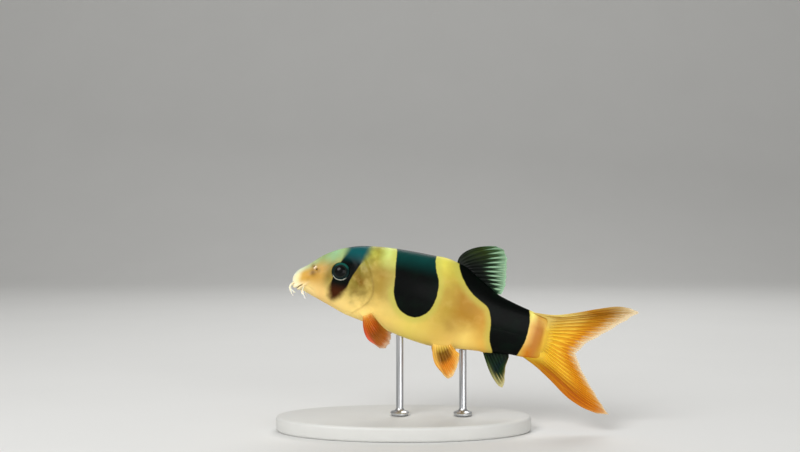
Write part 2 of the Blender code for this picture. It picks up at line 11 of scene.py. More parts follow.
import bmesh
import bpy
import numpy as np
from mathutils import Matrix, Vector


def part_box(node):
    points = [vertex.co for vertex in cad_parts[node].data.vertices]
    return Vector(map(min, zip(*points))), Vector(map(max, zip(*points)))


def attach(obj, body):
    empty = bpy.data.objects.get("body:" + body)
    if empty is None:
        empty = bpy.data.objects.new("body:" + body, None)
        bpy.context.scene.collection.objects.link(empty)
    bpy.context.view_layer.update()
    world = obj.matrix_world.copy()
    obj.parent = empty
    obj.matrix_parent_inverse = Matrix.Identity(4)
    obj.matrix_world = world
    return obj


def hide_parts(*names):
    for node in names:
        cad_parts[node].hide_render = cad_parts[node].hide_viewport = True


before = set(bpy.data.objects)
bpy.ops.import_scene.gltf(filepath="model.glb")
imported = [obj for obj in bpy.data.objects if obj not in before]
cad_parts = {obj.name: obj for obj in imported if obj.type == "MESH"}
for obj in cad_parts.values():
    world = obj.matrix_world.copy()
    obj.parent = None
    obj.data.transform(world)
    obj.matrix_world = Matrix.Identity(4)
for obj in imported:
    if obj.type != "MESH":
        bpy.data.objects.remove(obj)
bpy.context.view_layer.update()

STANDARD_LENGTH = 0.105
PITCH = math.radians(13.0)
SNOUT_HEIGHT = 0.0608
TAIL_SWEEP = 0.01
SWEEP_START = 0.45

# Station, height of the back, height of the belly line, half of the body's width.
BODY_SECTIONS = (
    (0.0, 0.012, 0.012, 0.0), (0.013, 0.046, -0.017, 0.024), (0.05, 0.079, -0.026, 0.039),
    (0.1, 0.128, -0.041, 0.05), (0.16, 0.166, -0.059, 0.061), (0.23, 0.19, -0.079, 0.07),
    (0.3, 0.206, -0.09, 0.078), (0.4, 0.216, -0.104, 0.084), (0.5, 0.22, -0.119, 0.083),
    (0.58, 0.221, -0.124, 0.078), (0.64, 0.205, -0.119, 0.07), (0.7, 0.173, -0.109, 0.06),
    (0.78, 0.133, -0.099, 0.046), (0.86, 0.111, -0.087, 0.034), (0.94, 0.095, -0.084, 0.023),
    (1.0, 0.082, -0.08, 0.015),
)
WIDEST_SHARE = 0.46
BACK_FULLNESS = 1.12
BELLY_FULLNESS = 0.84
TAIL_ROOT_LENGTH = 0.042
TAIL_ROOT_THINNING = 1.8
BOARD_STATION = 0.47

NAPE_STATION = 0.236
GILL_BULGE = 0.078
GILL_ANGLE = math.radians(96.0)
GILL_SPREAD = math.radians(44.0)
GILL_COVER_RAISE = 0.0004
GILL_COVER_RAMP = 0.03
GILL_SLIT_WIDTH = 0.0038
GILL_SLIT_DEPTH = 0.00022

EYE_STATION = 0.1775
EYE_ANGLE = math.radians(73.0)
EYE_RADIUS = 0.0039
EYE_DEPTH = 0.0027
EYE_SINK = 0.0013
EYE_FORWARD = -0.13
EYE_UPWARD = 0.8
EYE_OPENING = 0.00362
EYE_CLEARANCE = 0.00015
LID_WIDTH = 0.0003
LID_HEIGHT = 0.00016
LID_REACH = 0.0062
LID_DEPTH = 0.004
IRIS_RADIUS = 0.00355

MOUTH_STATION = 0.021
MOUTH_CORNER_BACK = 0.042
MOUTH_HALF_ANGLE = math.radians(66.0)
MOUTH_DEPTH = 0.0009
MOUTH_SLIT = 0.0017
LIP_HEIGHT = 0.00062
LIP_SPACING = 0.0085
LIP_WIDTH = 0.0068
LIP_FOLD = 0.06
LIP_FOLDS_A_TURN = 46.0
NOSTRIL_STATION = 0.08
NOSTRIL_ANGLE = math.radians(58.0)
NOSTRIL_SPACING = 0.0008
NOSTRIL_RADIUS = 0.0005
NOSTRIL_RIM = 0.0002
NOSTRIL_RIM_HEIGHT = 0.00022
NOSTRIL_REACH = 0.0022
NOSTRIL_LINE = (0.8, 0.0, -0.6)
NOSTRIL_DEPTH = 0.0007
FLAP_HEIGHT = 0.00062
FLAP_WIDTH = 0.00085
FLAP_THICKNESS = 0.00048

# Paths on the left side of the head and body, each a list of station and angle around in
# degrees, with the width and the height of the fold or groove that runs along it.
FOLDS = (
    (((0.118, 82), (0.15, 92), (0.185, 99), (0.212, 96)), 0.00026, -0.00016),
    (((0.238, 52), (0.258, 74), (0.268, 96), (0.256, 120), (0.215, 140)), 0.00055, -0.00013),
    (((0.046, 116), (0.07, 124), (0.098, 134)), 0.0003, -0.00018),
    (((0.06, 158), (0.13, 162), (0.21, 158), (0.262, 146)), 0.00035, -0.00018),
    (((0.09, 172), (0.16, 172), (0.23, 170)), 0.0006, -0.00012),
    (((0.318, 84), (0.45, 88), (0.6, 91), (0.8, 92), (0.99, 90)), 0.00022, -0.00006),
    (((0.606, 0), (0.7, 0), (0.79, 0)), 0.0012, 0.00045),
    (((0.762, 180), (0.82, 180), (0.89, 180)), 0.0011, 0.0004),
    (((0.29, 147), (0.309, 135.5), (0.328, 124)), 0.0013, 0.00065),
    (((0.572, 156), (0.617, 152.5), (0.662, 149)), 0.0012, 0.00055),
)
LINE_FADE = 0.2
LINE_STEPS = 10
# Station, angle around in degrees, radius and height of each soft swelling.
SWELLINGS = (
    (0.205, 116, 0.0042, 0.00036), (0.309, 133, 0.0028, 0.0003), (0.616, 151, 0.0026, 0.00025),
    (0.055, 112, 0.0018, 0.00024), (0.105, 84, 0.003, 0.00018), (0.235, 22, 0.0045, 0.00022),
)
# Station, height, radius and strength of each brown blush on the head and the flank.
BLUSHES = (
    (0.062, 0.021, 0.01, 0.18), (0.335, 0.115, 0.022, 0.28), (0.372, 0.125, 0.02, 0.2),
    (0.37, 0.02, 0.022, 0.13), (0.633, -0.022, 0.038, 0.28), (0.755, -0.034, 0.025, 0.1),
    (0.962, 0.038, 0.011, 0.22), (0.952, -0.034, 0.01, 0.2), (0.074, 0.053, 0.013, 0.95),
    (0.068, 0.078, 0.009, 0.6), (0.094, 0.066, 0.009, 0.6), (0.138, 0.056, 0.016, 0.45),
    (0.242, 0.078, 0.018, 0.72), (0.264, 0.06, 0.017, 0.82), (0.25, 0.024, 0.012, 0.35),
    (0.285, 0.085, 0.016, 0.25), (0.232, 0.034, 0.012, 0.4),
)

# Share across the fin from its front, station of the ray's root, station and height of its tip.
DORSAL_RAYS = (
    (0.0, 0.615, 0.742, 0.3105), (0.12, 0.622, 0.772, 0.305), (0.24, 0.631, 0.79, 0.285),
    (0.36, 0.64, 0.798, 0.262), (0.48, 0.651, 0.802, 0.236), (0.6, 0.668, 0.807, 0.211),
    (0.73, 0.692, 0.81, 0.186), (0.87, 0.726, 0.81, 0.16), (1.0, 0.776, 0.801, 0.133),
)
ANAL_RAYS = (
    (0.0, 0.776, 0.874, -0.2165), (0.15, 0.785, 0.885, -0.2195), (0.3, 0.797, 0.893, -0.208),
    (0.45, 0.811, 0.889, -0.185), (0.62, 0.829, 0.884, -0.161), (0.8, 0.852, 0.881, -0.133),
    (1.0, 0.878, 0.885, -0.098),
)
# Share across the lobe, station and height of the ray's root, station and height of its tip.
UPPER_LOBE_RAYS = (
    (0.0, 0.94, 0.0925, 1.295, 0.195), (0.1, 0.978, 0.086, 1.331, 0.1885),
    (0.16, 0.995, 0.083, 1.324, 0.1815), (0.24, 1.003, 0.0745, 1.311, 0.169),
    (0.36, 1.004, 0.06, 1.288, 0.146), (0.52, 1.004, 0.044, 1.248, 0.108),
    (0.68, 1.004, 0.029, 1.206, 0.068), (0.84, 1.004, 0.015, 1.163, 0.027),
    (1.0, 1.004, -0.001, 1.1305, -0.0229),
)
LOWER_LOBE_RAYS = (
    (0.0, 0.94, -0.082, 1.262, -0.227), (0.1, 0.975, -0.0785, 1.301, -0.2188),
    (0.16, 0.992, -0.0755, 1.295, -0.212), (0.24, 1.002, -0.07, 1.281, -0.2),
    (0.36, 1.004, -0.06, 1.259, -0.179), (0.52, 1.004, -0.044, 1.226, -0.145),
    (0.68, 1.004, -0.029, 1.191, -0.106), (0.84, 1.004, -0.015, 1.159, -0.068),
    (1.0, 1.004, -0.001, 1.1305, -0.0229),
)
# Reach along a lobe's edge ray, and how far it swells there from a straight line.
UPPER_EDGE = ((0, 0), (0.25, -0.014), (0.45, -0.008), (0.66, 0.004), (0.87, 0.0095), (1, 0))
LOWER_EDGE = ((0, 0), (0.2, 0.0), (0.35, 0.007), (0.65, 0.024), (0.79, 0.02), (1, 0))
# Share across the fin, station and height of the ray's tip, and how far out it is held.
PECTORAL_TIPS = (
    (0.0, 0.371, -0.156, 0.136), (0.15, 0.391, -0.162, 0.14), (0.3, 0.407, -0.157, 0.143),
    (0.45, 0.419, -0.143, 0.144), (0.6, 0.425, -0.128, 0.143), (0.75, 0.425, -0.116, 0.14),
    (0.88, 0.42, -0.107, 0.136), (1.0, 0.411, -0.0995, 0.131),
)
PELVIC_TIPS = (
    (0.0, 0.637, -0.206, 0.104), (0.15, 0.658, -0.219, 0.1), (0.3, 0.675, -0.219, 0.096),
    (0.45, 0.687, -0.203, 0.091), (0.62, 0.693, -0.179, 0.087), (0.8, 0.695, -0.15, 0.082),
    (1.0, 0.688, -0.121, 0.076),
)
# Station and angle around of the front end and the rear end of a paired fin's root.
PECTORAL_ROOTS = ((0.298, math.radians(142.0)), (0.32, math.radians(129.0)))
PECTORAL_BOW = (-0.0016, 0.0012, -0.0016)
PELVIC_ROOTS = ((0.584, math.radians(155.0)), (0.65, math.radians(150.0)))
PELVIC_BOW = (-0.0014, 0.0009, -0.0004)
DORSAL_BOW = 0.09
ANAL_BOW = 0.052
TAIL_RAYS = 19
LOBE_THICKNESS = 0.002
LOBE_BOW = 0.004
EDGE_SHARE = 0.35
ROOT_SUNK = 0.0009
COLUMNS_PER_RAY = 18
FIN_ROWS = 110
FIN_STEP = 0.02
FIN_EDGE_ROUND = 0.3
FIN_FLESH = 0.35
# Where along a ray it splits, over how far, and how far apart its branches come to lie.
RAY_FORK = (0.28, 0.45, 0.25)
RAY_SECOND_FORK = (0.62, 0.35, 0.12)
RAY_WIDTH = 0.17
RAY_NARROWING = 0.1
EDGE_RAY_WIDTH = 0.4
RAY_TIP = 0.00026
RAY_UNEVEN = 0.02
RAY_JOINTS = 520.0
WEB = 0.00012
WEB_SHARE = 0.3
# Size, growth on the way out, and number across and along the fin of the web's ripples.
RIPPLES = ((1.0, 1.5, 1.6, 0.7), (0.35, 1.0, 4.3, -1.1))
EDGE_NOTCH = 0.025

CORNEA_RISE = 0.00022
CORNEA_STEEPNESS = 1.35
BARBEL_RADIUS = 0.00034
BARBEL_TIP_RADIUS = 0.00015
BARBEL_SUNK = 0.0006
BARBEL_FOOT = 1.1
BARBEL_RINGS = 150.0
BARBEL_RING_HEIGHT = 0.018
BARBEL_STEPS = 400
# Kind, station, angle around in degrees and length of each pair of barbels, then the way
# that it curls towards and by how many degrees.
BARBELS = (
    ("rostral_inner", 0.0062, 158, 0.005, (0.25, 0.15, -1.0), 128),
    ("rostral_outer", 0.0085, 127, 0.0068, (-0.05, 0.2, -1.0), 116),
    ("maxillary", 0.052, 127, 0.0058, (0.55, 0.1, -1.0), 78),
    ("mandibular", 0.044, 164, 0.0022, (1.0, 0.0, -0.2), 50),
)
RIGHT_CURL = 0.9
BASE_BEVEL = 0.0012
FRONT_ROD_STATION = 0.455
REAR_ROD_STATION = 0.705
ROD_RADIUS = 0.0015
# Radius and height above the board of each corner of a rod's turned foot.
ROD_FOOT = (
    (0.0, 0.0), (0.0035, 0.0), (0.0038, 0.0003), (0.0038, 0.001), (0.0034, 0.0014),
    (0.0024, 0.0016), (0.0018, 0.0021), (ROD_RADIUS, 0.0028),
)

FLOOR_LENGTH = 4.0
FLOOR_FLAT = 1.8
FLOOR_CURVE = 0.5
FLOOR_FRONT = 0.9
FLOOR_WIDTH = 4.0
# Name, place, size and power of each lamp.
LAMPS = (
    ("key_lamp", (-0.42, -0.62, 0.58), 0.5, 5.6),
    ("fill_lamp", (0.4, -0.8, 0.14), 0.7, 3.3),
    ("back_lamp", (0.1, 0.55, 0.75), 0.6, 3.2),
)
LAMP_AIM = (0.0, 0.0, 0.045)
CAMERA_PLACE = (-0.0228, -0.4523, 0.0896)
CAMERA_DIP = math.radians(0.806)

SKIN_SIDES = 200
SKIN_ROWS = 300
FINE_AT_EYE = 0.36
FINE_AT_NOSTRIL = 0.16
BAND_WANDER = 0.009
BAND_WAVES_UP = 14.0
BAND_WAVES_ALONG = 18.0
SIDES = (("left", False), ("right", True))

# Corners of the three dark bands on the flank, as station and height, from the back down
# the front edge and up the rear edge. Each outline is rounded through its corners.
EYE_BAND = (
    (0.184, 0.27), (0.184, 0.2), (0.181, 0.165), (0.175, 0.13), (0.158, 0.075), (0.15, 0.02),
    (0.151, -0.01), (0.164, -0.03), (0.182, -0.028), (0.199, -0.01), (0.214, 0.022),
    (0.222, 0.062), (0.243, 0.12), (0.263, 0.16), (0.271, 0.2), (0.276, 0.27),
)
SADDLE_BAND = (
    (0.36, 0.27), (0.37, 0.209), (0.377, 0.16), (0.386, 0.1), (0.392, 0.055), (0.405, 0.025),
    (0.427, -0.005), (0.451, -0.019), (0.48, -0.025), (0.506, -0.019), (0.53, -0.001),
    (0.545, 0.022), (0.554, 0.052), (0.556, 0.093), (0.55, 0.135), (0.535, 0.167), (0.524, 0.205),
    (0.512, 0.27),
)
REAR_BAND = (
    (0.606, 0.27), (0.616, 0.21), (0.628, 0.18), (0.647, 0.152), (0.677, 0.121), (0.719, 0.094),
    (0.756, 0.075), (0.775, 0.043), (0.785, 0.006), (0.789, -0.033), (0.799, -0.062),
    (0.815, -0.09), (0.838, -0.14), (0.893, -0.14), (0.912, -0.08), (0.924, -0.034),
    (0.93, 0.008), (0.93, 0.052), (0.921, 0.093), (0.906, 0.14), (0.8, 0.27),
)
OUTLINE_STEPS = 5


def eased(t, start, leaving, end, arriving):
    """A cubic from start to end as t goes from 0 to 1, with its slope at both ends."""
    first = start * (1 + 2 * t) * (1 - t) ** 2 + leaving * t * (1 - t) ** 2
    last = end * t * t * (3 - 2 * t) - arriving * t * t * (1 - t)
    return first + last


def smooth_curve(points):
    """A function through (x, value) points, each slope the mean of its neighbours' chords."""
    xs, values = np.array(points, float).T
    widths = np.diff(xs)
    chords = np.diff(values) / widths
    between = (chords[:-1] * widths[1:] + chords[1:] * widths[:-1]) / (widths[:-1] + widths[1:])
    slopes = np.concatenate((chords[:1], between, chords[-1:]))

    def value(x):
        x = np.clip(x, xs[0], xs[-1])
        i = np.clip(np.searchsorted(xs, x) - 1, 0, len(xs) - 2)
        wide = widths[i]
        ends = values[i], slopes[i] * wide, values[i + 1], slopes[i + 1] * wide
        return eased((x - xs[i]) / wide, *ends)

    return value


def column_curve(table, column):
    return smooth_curve([(row[0], row[column]) for row in table])


# The profiles run over the square root of the station, which gives the snout its round end.
BACK_HEIGHT, BELLY_HEIGHT, HALF_WIDTH = [
    smooth_curve([(math.sqrt(row[0]), row[column]) for row in BODY_SECTIONS])
    for column in (1, 2, 3)
]


def smooth_step(x):
    x = np.clip(x, 0.0, 1.0)
    return x * x * (3 - 2 * x)


def bump(x, width):
    return np.exp(-((x / width) ** 2))


def unit(vectors):
    return vectors / np.linalg.norm(vectors, axis=-1, keepdims=True)


def skin_point(along, around):
    """The plain surface of the body, which thins out over the roots of the tail fin's rays."""
    along, around = np.broadcast_arrays(along, around)
    root = np.sqrt(np.clip(along, 0.0, 1.0))
    behind = np.clip((along - 1.0) / TAIL_ROOT_LENGTH, 0.0, 1.0)
    narrowing = (1.0 - behind) ** TAIL_ROOT_THINNING
    top = BACK_HEIGHT(root)
    bottom = BELLY_HEIGHT(root)
    middle = bottom + WIDEST_SHARE * (top - bottom)
    sine = np.sin(around)
    cosine = np.cos(around)
    reach = np.where(cosine > 0, top - middle, middle - bottom) * (1.0 - behind ** 3) ** 0.4
    fullness = np.where(cosine > 0, BACK_FULLNESS, BELLY_FULLNESS)
    side = -HALF_WIDTH(root) * narrowing * np.sign(sine) * np.abs(sine) ** fullness
    return np.stack((along, side, middle + reach * cosine), axis=-1) * STANDARD_LENGTH


def skin_normal(along, around):
    step = 0.002
    ahead = skin_point(along + step, around) - skin_point(np.maximum(along - step, 0.0), around)
    turn = skin_point(along, around + step) - skin_point(along, around - step)
    return unit(np.cross(turn, ahead))


def stand_shift():
    """How far the model is moved along to set the belly at BOARD_STATION over the base's middle."""
    low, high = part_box("stand_base")
    belly_middle = in_place(skin_point(BOARD_STATION, math.pi))
    return np.array((0.5 * (low.x + high.x) - belly_middle[0], 0.0, 0.0))


def in_place(points, shift=0.0):
    """Carries points of the fish's own frame to where the model stands."""
    along, side, up = np.moveaxis(np.asarray(points), -1, 0)
    past = np.maximum(along / STANDARD_LENGTH - SWEEP_START, 0.0)
    x = along * math.cos(PITCH) + up * math.sin(PITCH)
    y = side - TAIL_SWEEP * past * past
    z = SNOUT_HEIGHT - along * math.sin(PITCH) + up * math.cos(PITCH)
    return np.stack((x, y, z), axis=-1) + shift


SHIFT = stand_shift()


def folded(around):
    """The angle from the back down either flank."""
    turn = np.mod(around, 2 * math.pi)
    return np.minimum(turn, 2 * math.pi - turn)


def on_side(angle, right):
    """An angle around of the left flank, or its mirror on the right one."""
    return 2 * math.pi - angle if right else angle


def gill_station(around):
    return NAPE_STATION + GILL_BULGE * bump(folded(around) - GILL_ANGLE, GILL_SPREAD)


def mouth_station(swing):
    return MOUTH_STATION + MOUTH_CORNER_BACK * (1 - np.cos(swing))


def vertices_of(bm):
    return np.array([vertex.co for vertex in bm.verts])


def place_vertices(bm, points):
    """Moves a mesh's corners to points given in the fish's own frame."""
    for vertex, point in zip(bm.verts, in_place(points, SHIFT)):
        vertex.co = point


def make_object(bm, name, values=None):
    """Turns a closed shape outwards and makes an object of it, with named values on its points."""
    bmesh.ops.recalc_face_normals(bm, faces=bm.faces)
    if bm.calc_volume(signed=True) < 0:
        bmesh.ops.reverse_faces(bm, faces=bm.faces)
    mesh = bpy.data.meshes.new(name)
    bm.to_mesh(mesh)
    bm.free()
    mesh.shade_smooth()
    for label, numbers in (values or {}).items():
        attribute = mesh.attributes.new(label, "FLOAT", "POINT")
        attribute.data.foreach_set("value", np.asarray(numbers, np.float32))
    piece = bpy.data.objects.new(name, mesh)
    bpy.context.scene.collection.objects.link(piece)
    return piece


def set_in(piece, material, slot, *nodes):
    """Gives a piece its finish and lets it stand for the nodes of the solid model."""
    piece.data.materials.append(material)
    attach(piece, "root")
    if nodes:
        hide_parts(*nodes)
    return piece


def paint(red, green, blue):
    """A colour given as on a paint card, 0 to 255, in the shader's own light units."""
    shares = [value / 255 for value in (red, green, blue)]
    return (*[s / 12.92 if s <= 0.04045 else ((s + 0.055) / 1.055) ** 2.4 for s in shares], 1.0)


def math_operator(operation, reflected=False):
    """An arithmetic sign between two values of a material, as one Math node."""
    def apply(self, other):
        return self.maths(operation, *((other, self) if reflected else (self, other)))

    return apply


class Signal:
    """A value inside a material; reckoning with it adds the material's own Math nodes."""

    __add__, __radd__ = math_operator("ADD"), math_operator("ADD", True)
    __sub__, __rsub__ = math_operator("SUBTRACT"), math_operator("SUBTRACT", True)
    __mul__, __rmul__ = math_operator("MULTIPLY"), math_operator("MULTIPLY", True)
    __truediv__, __rtruediv__ = math_operator("DIVIDE"), math_operator("DIVIDE", True)

    def __init__(self, finish, socket):
        self.finish = finish
        self.socket = socket

    def maths(self, operation, *values):
        return self.finish.node("Math", {"operation": operation}, dict(enumerate(values)))

    def sine(self):
        return self.maths("SINE", self)

    def clamped(self):
        return self.finish.node("Clamp", {}, {"Value": self})

    def between(self, low, high):
        """Rises smoothly from 0 at low to 1 at high."""
        limits = {"Value": self, "From Min": low, "From Max": high}
        return self.finish.node("MapRange", {"interpolation_type": "SMOOTHSTEP"}, limits)


class Finish:
    """One material, whose nodes all come from one method."""

    def __init__(self, name, constants):
        self.material = bpy.data.materials.new(name)
        self.material.use_nodes = True
        self.tree = self.material.node_tree
        self.shader = self.tree.nodes["Principled BSDF"]
        for socket, value in constants.items():
            self.shader.inputs[socket].default_value = value

    def node(self, kind, settings, inputs, output=0):
        made = self.tree.nodes.new("ShaderNode" + kind)
        for name, value in settings.items():
            if name == "stops":
                self.set_stops(made.color_ramp, value)
            else:
                setattr(made, name, value)
        for name, value in inputs.items():
            self.feed(made.inputs[name], value)
        return Signal(self, made.outputs[output])

    def feed(self, socket, value):
        if isinstance(value, Signal):
            self.tree.links.new(value.socket, socket)
        else:
            socket.default_value = value

    def set_stops(self, ramp, stops):
        while len(ramp.elements) < len(stops):
            ramp.elements.new(1.0)
        for element, (position, *colour) in zip(ramp.elements, stops):
            element.position = position
            element.color = paint(*colour)

    def value(self, name):
        """A number that the mesh carries on its points."""
        return self.node("Attribute", {"attribute_name": name}, {}, "Fac")

    def place(self):
        return self.node("TexCoord", {}, {}, "Object")

    def noise(self, scale, detail=3.0, roughness=0.5):
        inputs = {"Vector": self.place(), "Scale": scale, "Detail": detail, "Roughness": roughness}
        return self.node("TexNoise", {}, inputs, "Fac")

    def ramp(self, value, stops):
        return self.node("ValToRGB", {"stops": stops}, {"Fac": value}, "Color")

    def mix(self, factor, first, second, blend="MIX"):
        settings = {"data_type": "RGBA", "blend_type": blend}
        return self.node("Mix", settings, {0: factor, 6: first, 7: second}, 2)

    def bumped(self, height, distance, strength=1.0, below=None):
        inputs = {"Height": height, "Distance": distance, "Strength": strength}
        if below:
            inputs["Normal"] = below
        return self.node("Bump", {}, inputs, "Normal")

    def done(self, **signals):
        for name, value in signals.items():
            self.feed(self.shader.inputs[name.replace("_", " ")], value)
        return self.material


FLANK_COLOURS = (
    (0.0, 250, 246, 214), (0.018, 244, 230, 172), (0.036, 208, 162, 70), (0.056, 202, 154, 66),
    (0.105, 196, 152, 72), (0.135, 148, 129, 66), (0.18, 146, 122, 52), (0.25, 127, 113, 41),
    (0.3, 166, 142, 66), (0.34, 168, 138, 60), (0.385, 178, 160, 86), (0.56, 190, 160, 68),
    (0.61, 182, 150, 58), (0.655, 174, 128, 42), (0.71, 180, 133, 48), (0.76, 204, 152, 62),
    (0.918, 222, 184, 92), (0.929, 242, 208, 120), (0.94, 232, 176, 98), (0.962, 192, 126, 58),
    (0.984, 186, 122, 42), (1.0, 228, 182, 60),
)
# Colours along the top of the body; the green-teal at stations 0.1 to 0.14 is a painted reflection
# of light on the top of the head.
BACK_COLOURS = (
    (0.0, 244, 250, 224), (0.05, 190, 204, 156), (0.1, 151, 172, 114), (0.14, 150, 192, 144),
    (0.25, 172, 180, 78), (0.305, 172, 168, 66), (0.345, 206, 225, 128), (0.56, 222, 214, 92),
    (0.61, 196, 182, 76), (0.7, 192, 160, 70), (0.925, 230, 214, 112), (0.938, 247, 240, 138),
    (0.962, 206, 156, 76), (1.0, 208, 168, 74),
)
BELLY_COLOURS = (
    (0.0, 250, 252, 228), (0.05, 248, 224, 152), (0.12, 238, 198, 122), (0.22, 250, 217, 131),
    (0.36, 250, 216, 121), (0.48, 232, 208, 100), (0.58, 220, 186, 90), (0.64, 231, 193, 99),
    (0.7, 248, 214, 114), (0.77, 232, 182, 80), (0.915, 222, 164, 66), (0.945, 196, 116, 24),
    (0.97, 190, 122, 48), (1.0, 202, 158, 44),
)


def skin_finish():
    """Wet skin, gold with three black bands, with painted teal sheen on their tops, over fine
    bedded scales.
    """
    skin = Finish("loach_skin", {
        "Subsurface Weight": 0.06, "Subsurface Radius": (1.0, 0.55, 0.25),
        "Subsurface Scale": 0.001, "Coat Roughness": 0.1, "IOR": 1.36,
        "Specular IOR Level": 0.11,
    })
    station = skin.value("station")
    rise = skin.value("rise")
    height = skin.value("height")
    fine = skin.noise(900.0, 4.0)
    broad = skin.noise(160.0, 3.0)
    wander = station + (broad - 0.5) * 0.012
    lean = rise + (broad - 0.5) * 0.35
    flank = skin.ramp(wander, FLANK_COLOURS)
    back = skin.ramp(wander, BACK_COLOURS)
    belly = skin.ramp(wander, BELLY_COLOURS)
    ground = skin.mix(lean.between(0.35, 0.95), flank, back)
    ground = skin.mix(lean.between(0.1, -0.75), ground, belly)
    ground = skin.mix(skin.value("blush") * (0.55 + broad), ground, paint(124, 88, 26))
    mottle = skin.noise(240.0, 2.5, 0.45)
    behind_eye = station.between(0.2, 0.24) * station.between(0.34, 0.28)
    olive = mottle.between(0.4, 0.72) * (0.08 + 0.5 * behind_eye) * height.between(-0.06, 0.01)
    ground = skin.mix(olive, ground, paint(112, 92, 34))
    pale = mottle.between(0.5, 0.26) * (0.1 + 0.22 * behind_eye)
    ground = skin.mix(pale, ground, paint(240, 214, 134))
    low_on_cheek = height.between(0.045, 0.0) * station.between(0.3, 0.26)
    edge = skin.value("band") + (fine - 0.5) * 0.0035 + (broad - 0.5) * 0.005
    edge = edge + low_on_cheek * (mottle - 0.5) * 0.03
    rim_glow = edge.between(-0.034, -0.004) * (0.12 + 0.5 * station.between(0.26, 0.34))
    rim_glow = rim_glow * (0.2 + 0.8 * station.between(0.93, 0.9))
    tan_stretch = height.between(0.04, 0.09) * height.between(0.18, 0.14)
    rim_glow = rim_glow * (1 - 0.75 * tan_stretch * station.between(0.45, 0.41))
    ground = skin.mix(rim_glow, ground, paint(190, 188, 86))
    # Painted teal sheen where light from above falls on the tops of the black bands, strongest over
    # the brow.
    painted_brow_sheen = height.between(0.116, 0.172) * station.between(0.32, 0.29)
    painted_brow_sheen = painted_brow_sheen * (1 - 0.5 * rise.between(0.95, 1.0))
    painted_top_sheen = height.between(0.13, 0.215) * station.between(0.6, 0.55) * (0.7 + 0.6 * broad)
    painted_top_sheen = painted_top_sheen * (1 - 0.6 * rise.between(0.95, 1.0))
    dark = skin.mix(broad.between(0.4, 0.7) * 0.5, paint(2, 4, 3), paint(2, 18, 8))
    # The bands' own black, with the painted teal sheen laid over its top.
    dark = skin.mix(painted_top_sheen, dark, paint(10, 62, 58))
    dark = skin.mix(painted_brow_sheen * 0.85, dark, paint(15, 86, 90))
    dark = skin.mix(low_on_cheek, dark, paint(62, 26, 3))
    softness = 0.0045 + 0.034 * painted_brow_sheen + 0.03 * low_on_cheek
    mask = (edge / softness + 0.5).between(0.0, 1.0)
    colour = skin.mix(mask, ground, dark)
    gill_shade = skin.value("gill") * (broad * 0.3) * (1 - mask)
    colour = skin.mix(gill_shade, colour, paint(120, 88, 34))
    colour = skin.mix(skin.value("lip") * 0.55, colour, paint(244, 226, 184))
    colour = skin.mix(skin.value("flap"), colour, paint(244, 222, 188))
    # Painted shade in the mouth slit and in the nostril pits.
    colour = skin.mix(skin.value("hollow"), colour, paint(60, 34, 8))
    scales = skin.node("TexVoronoi", {"feature": "DISTANCE_TO_EDGE"}, {
        "Vector": skin.place(), "Scale": 2600.0,
    }, "Distance")
    normal = skin.bumped(scales.between(0.0, 0.22), 0.00002, 0.5)
    normal = skin.bumped(fine, 0.0001, 0.3, normal)
    roughness = 0.38 - mask * 0.06 + (fine - 0.5) * 0.16
    return skin.done(
        Base_Color=colour, Roughness=roughness, Normal=normal,
        Coat_Weight=(0.06 + mottle * 0.05) * (1 - 0.7 * mask),
    )


def from_run(points, start, end):
    """How far each point is from a straight run, and the share of the run that it is next to."""
    run = end - start
    share = np.clip((points - start) @ run / (run @ run), 0.0, 1.0)
    return np.linalg.norm(points - start - share[:, None] * run, axis=1), share


def rounded_outline(corners):
    """Points of a closed outline that curves through its corners."""
    corners = np.array(corners)
    before, after = np.roll(corners, 1, axis=0), np.roll(corners, -1, axis=0)
    slopes = 0.5 * (after - before)
    t = np.linspace(0.0, 1.0, OUTLINE_STEPS, endpoint=False)[:, None, None]
    curved = eased(t, corners, slopes, after, np.roll(slopes, -1, axis=0))
    return np.swapaxes(curved, 0, 1).reshape(-1, 2)


def depth_inside(points, corners):
    """How far each point lies inside an outline; below zero outside it."""
    outline = rounded_outline(corners)
    nearest = np.full(len(points), np.inf)
    crossings = np.zeros(len(points), int)
    for start, end in zip(outline, np.roll(outline, -1, axis=0)):
        nearest = np.minimum(nearest, from_run(points, start, end)[0])
        spans = (start[1] > points[:, 1]) != (end[1] > points[:, 1])
        run = end - start
        rise = run[1] if run[1] else 1.0
        crossings += spans & (points[:, 0] < start[0] + (points[:, 1] - start[1]) * run[0] / rise)
    return np.where(crossings % 2 == 1, nearest, -nearest)


def gill_relief(along, around):
    """The gill cover's raised rear edge and the slit behind it."""
    before_slit = gill_station(around) - along
    on_flank = bump(folded(around) - GILL_ANGLE, GILL_SPREAD)
    ramp = 1 - smooth_step(before_slit / GILL_COVER_RAMP)
    edge = smooth_step(before_slit / GILL_SLIT_WIDTH + 1.0)
    slit = bump(before_slit + GILL_SLIT_WIDTH, GILL_SLIT_WIDTH)
    return on_flank * (GILL_COVER_RAISE * ramp * edge - GILL_SLIT_DEPTH * slit), on_flank * slit


def mouth_relief(along, around):
    """The two lips and the slit between them, on the underside of the snout."""
    swing = np.abs(np.mod(around, 2 * math.pi) - math.pi)
    past_line = along - mouth_station(swing)
    lips = bump(past_line - LIP_SPACING, LIP_WIDTH) + bump(past_line + LIP_SPACING, LIP_WIDTH)
    lips *= 1 - smooth_step((swing / MOUTH_HALF_ANGLE - 0.9) / 0.4)
    folds = LIP_FOLD * np.sin(LIP_FOLDS_A_TURN * swing) * lips
    slit = bump(past_line, MOUTH_SLIT) * (1 - smooth_step((swing / MOUTH_HALF_ANGLE - 0.85) / 0.2))
    return LIP_HEIGHT * (lips + folds) - MOUTH_DEPTH * slit, lips, slit


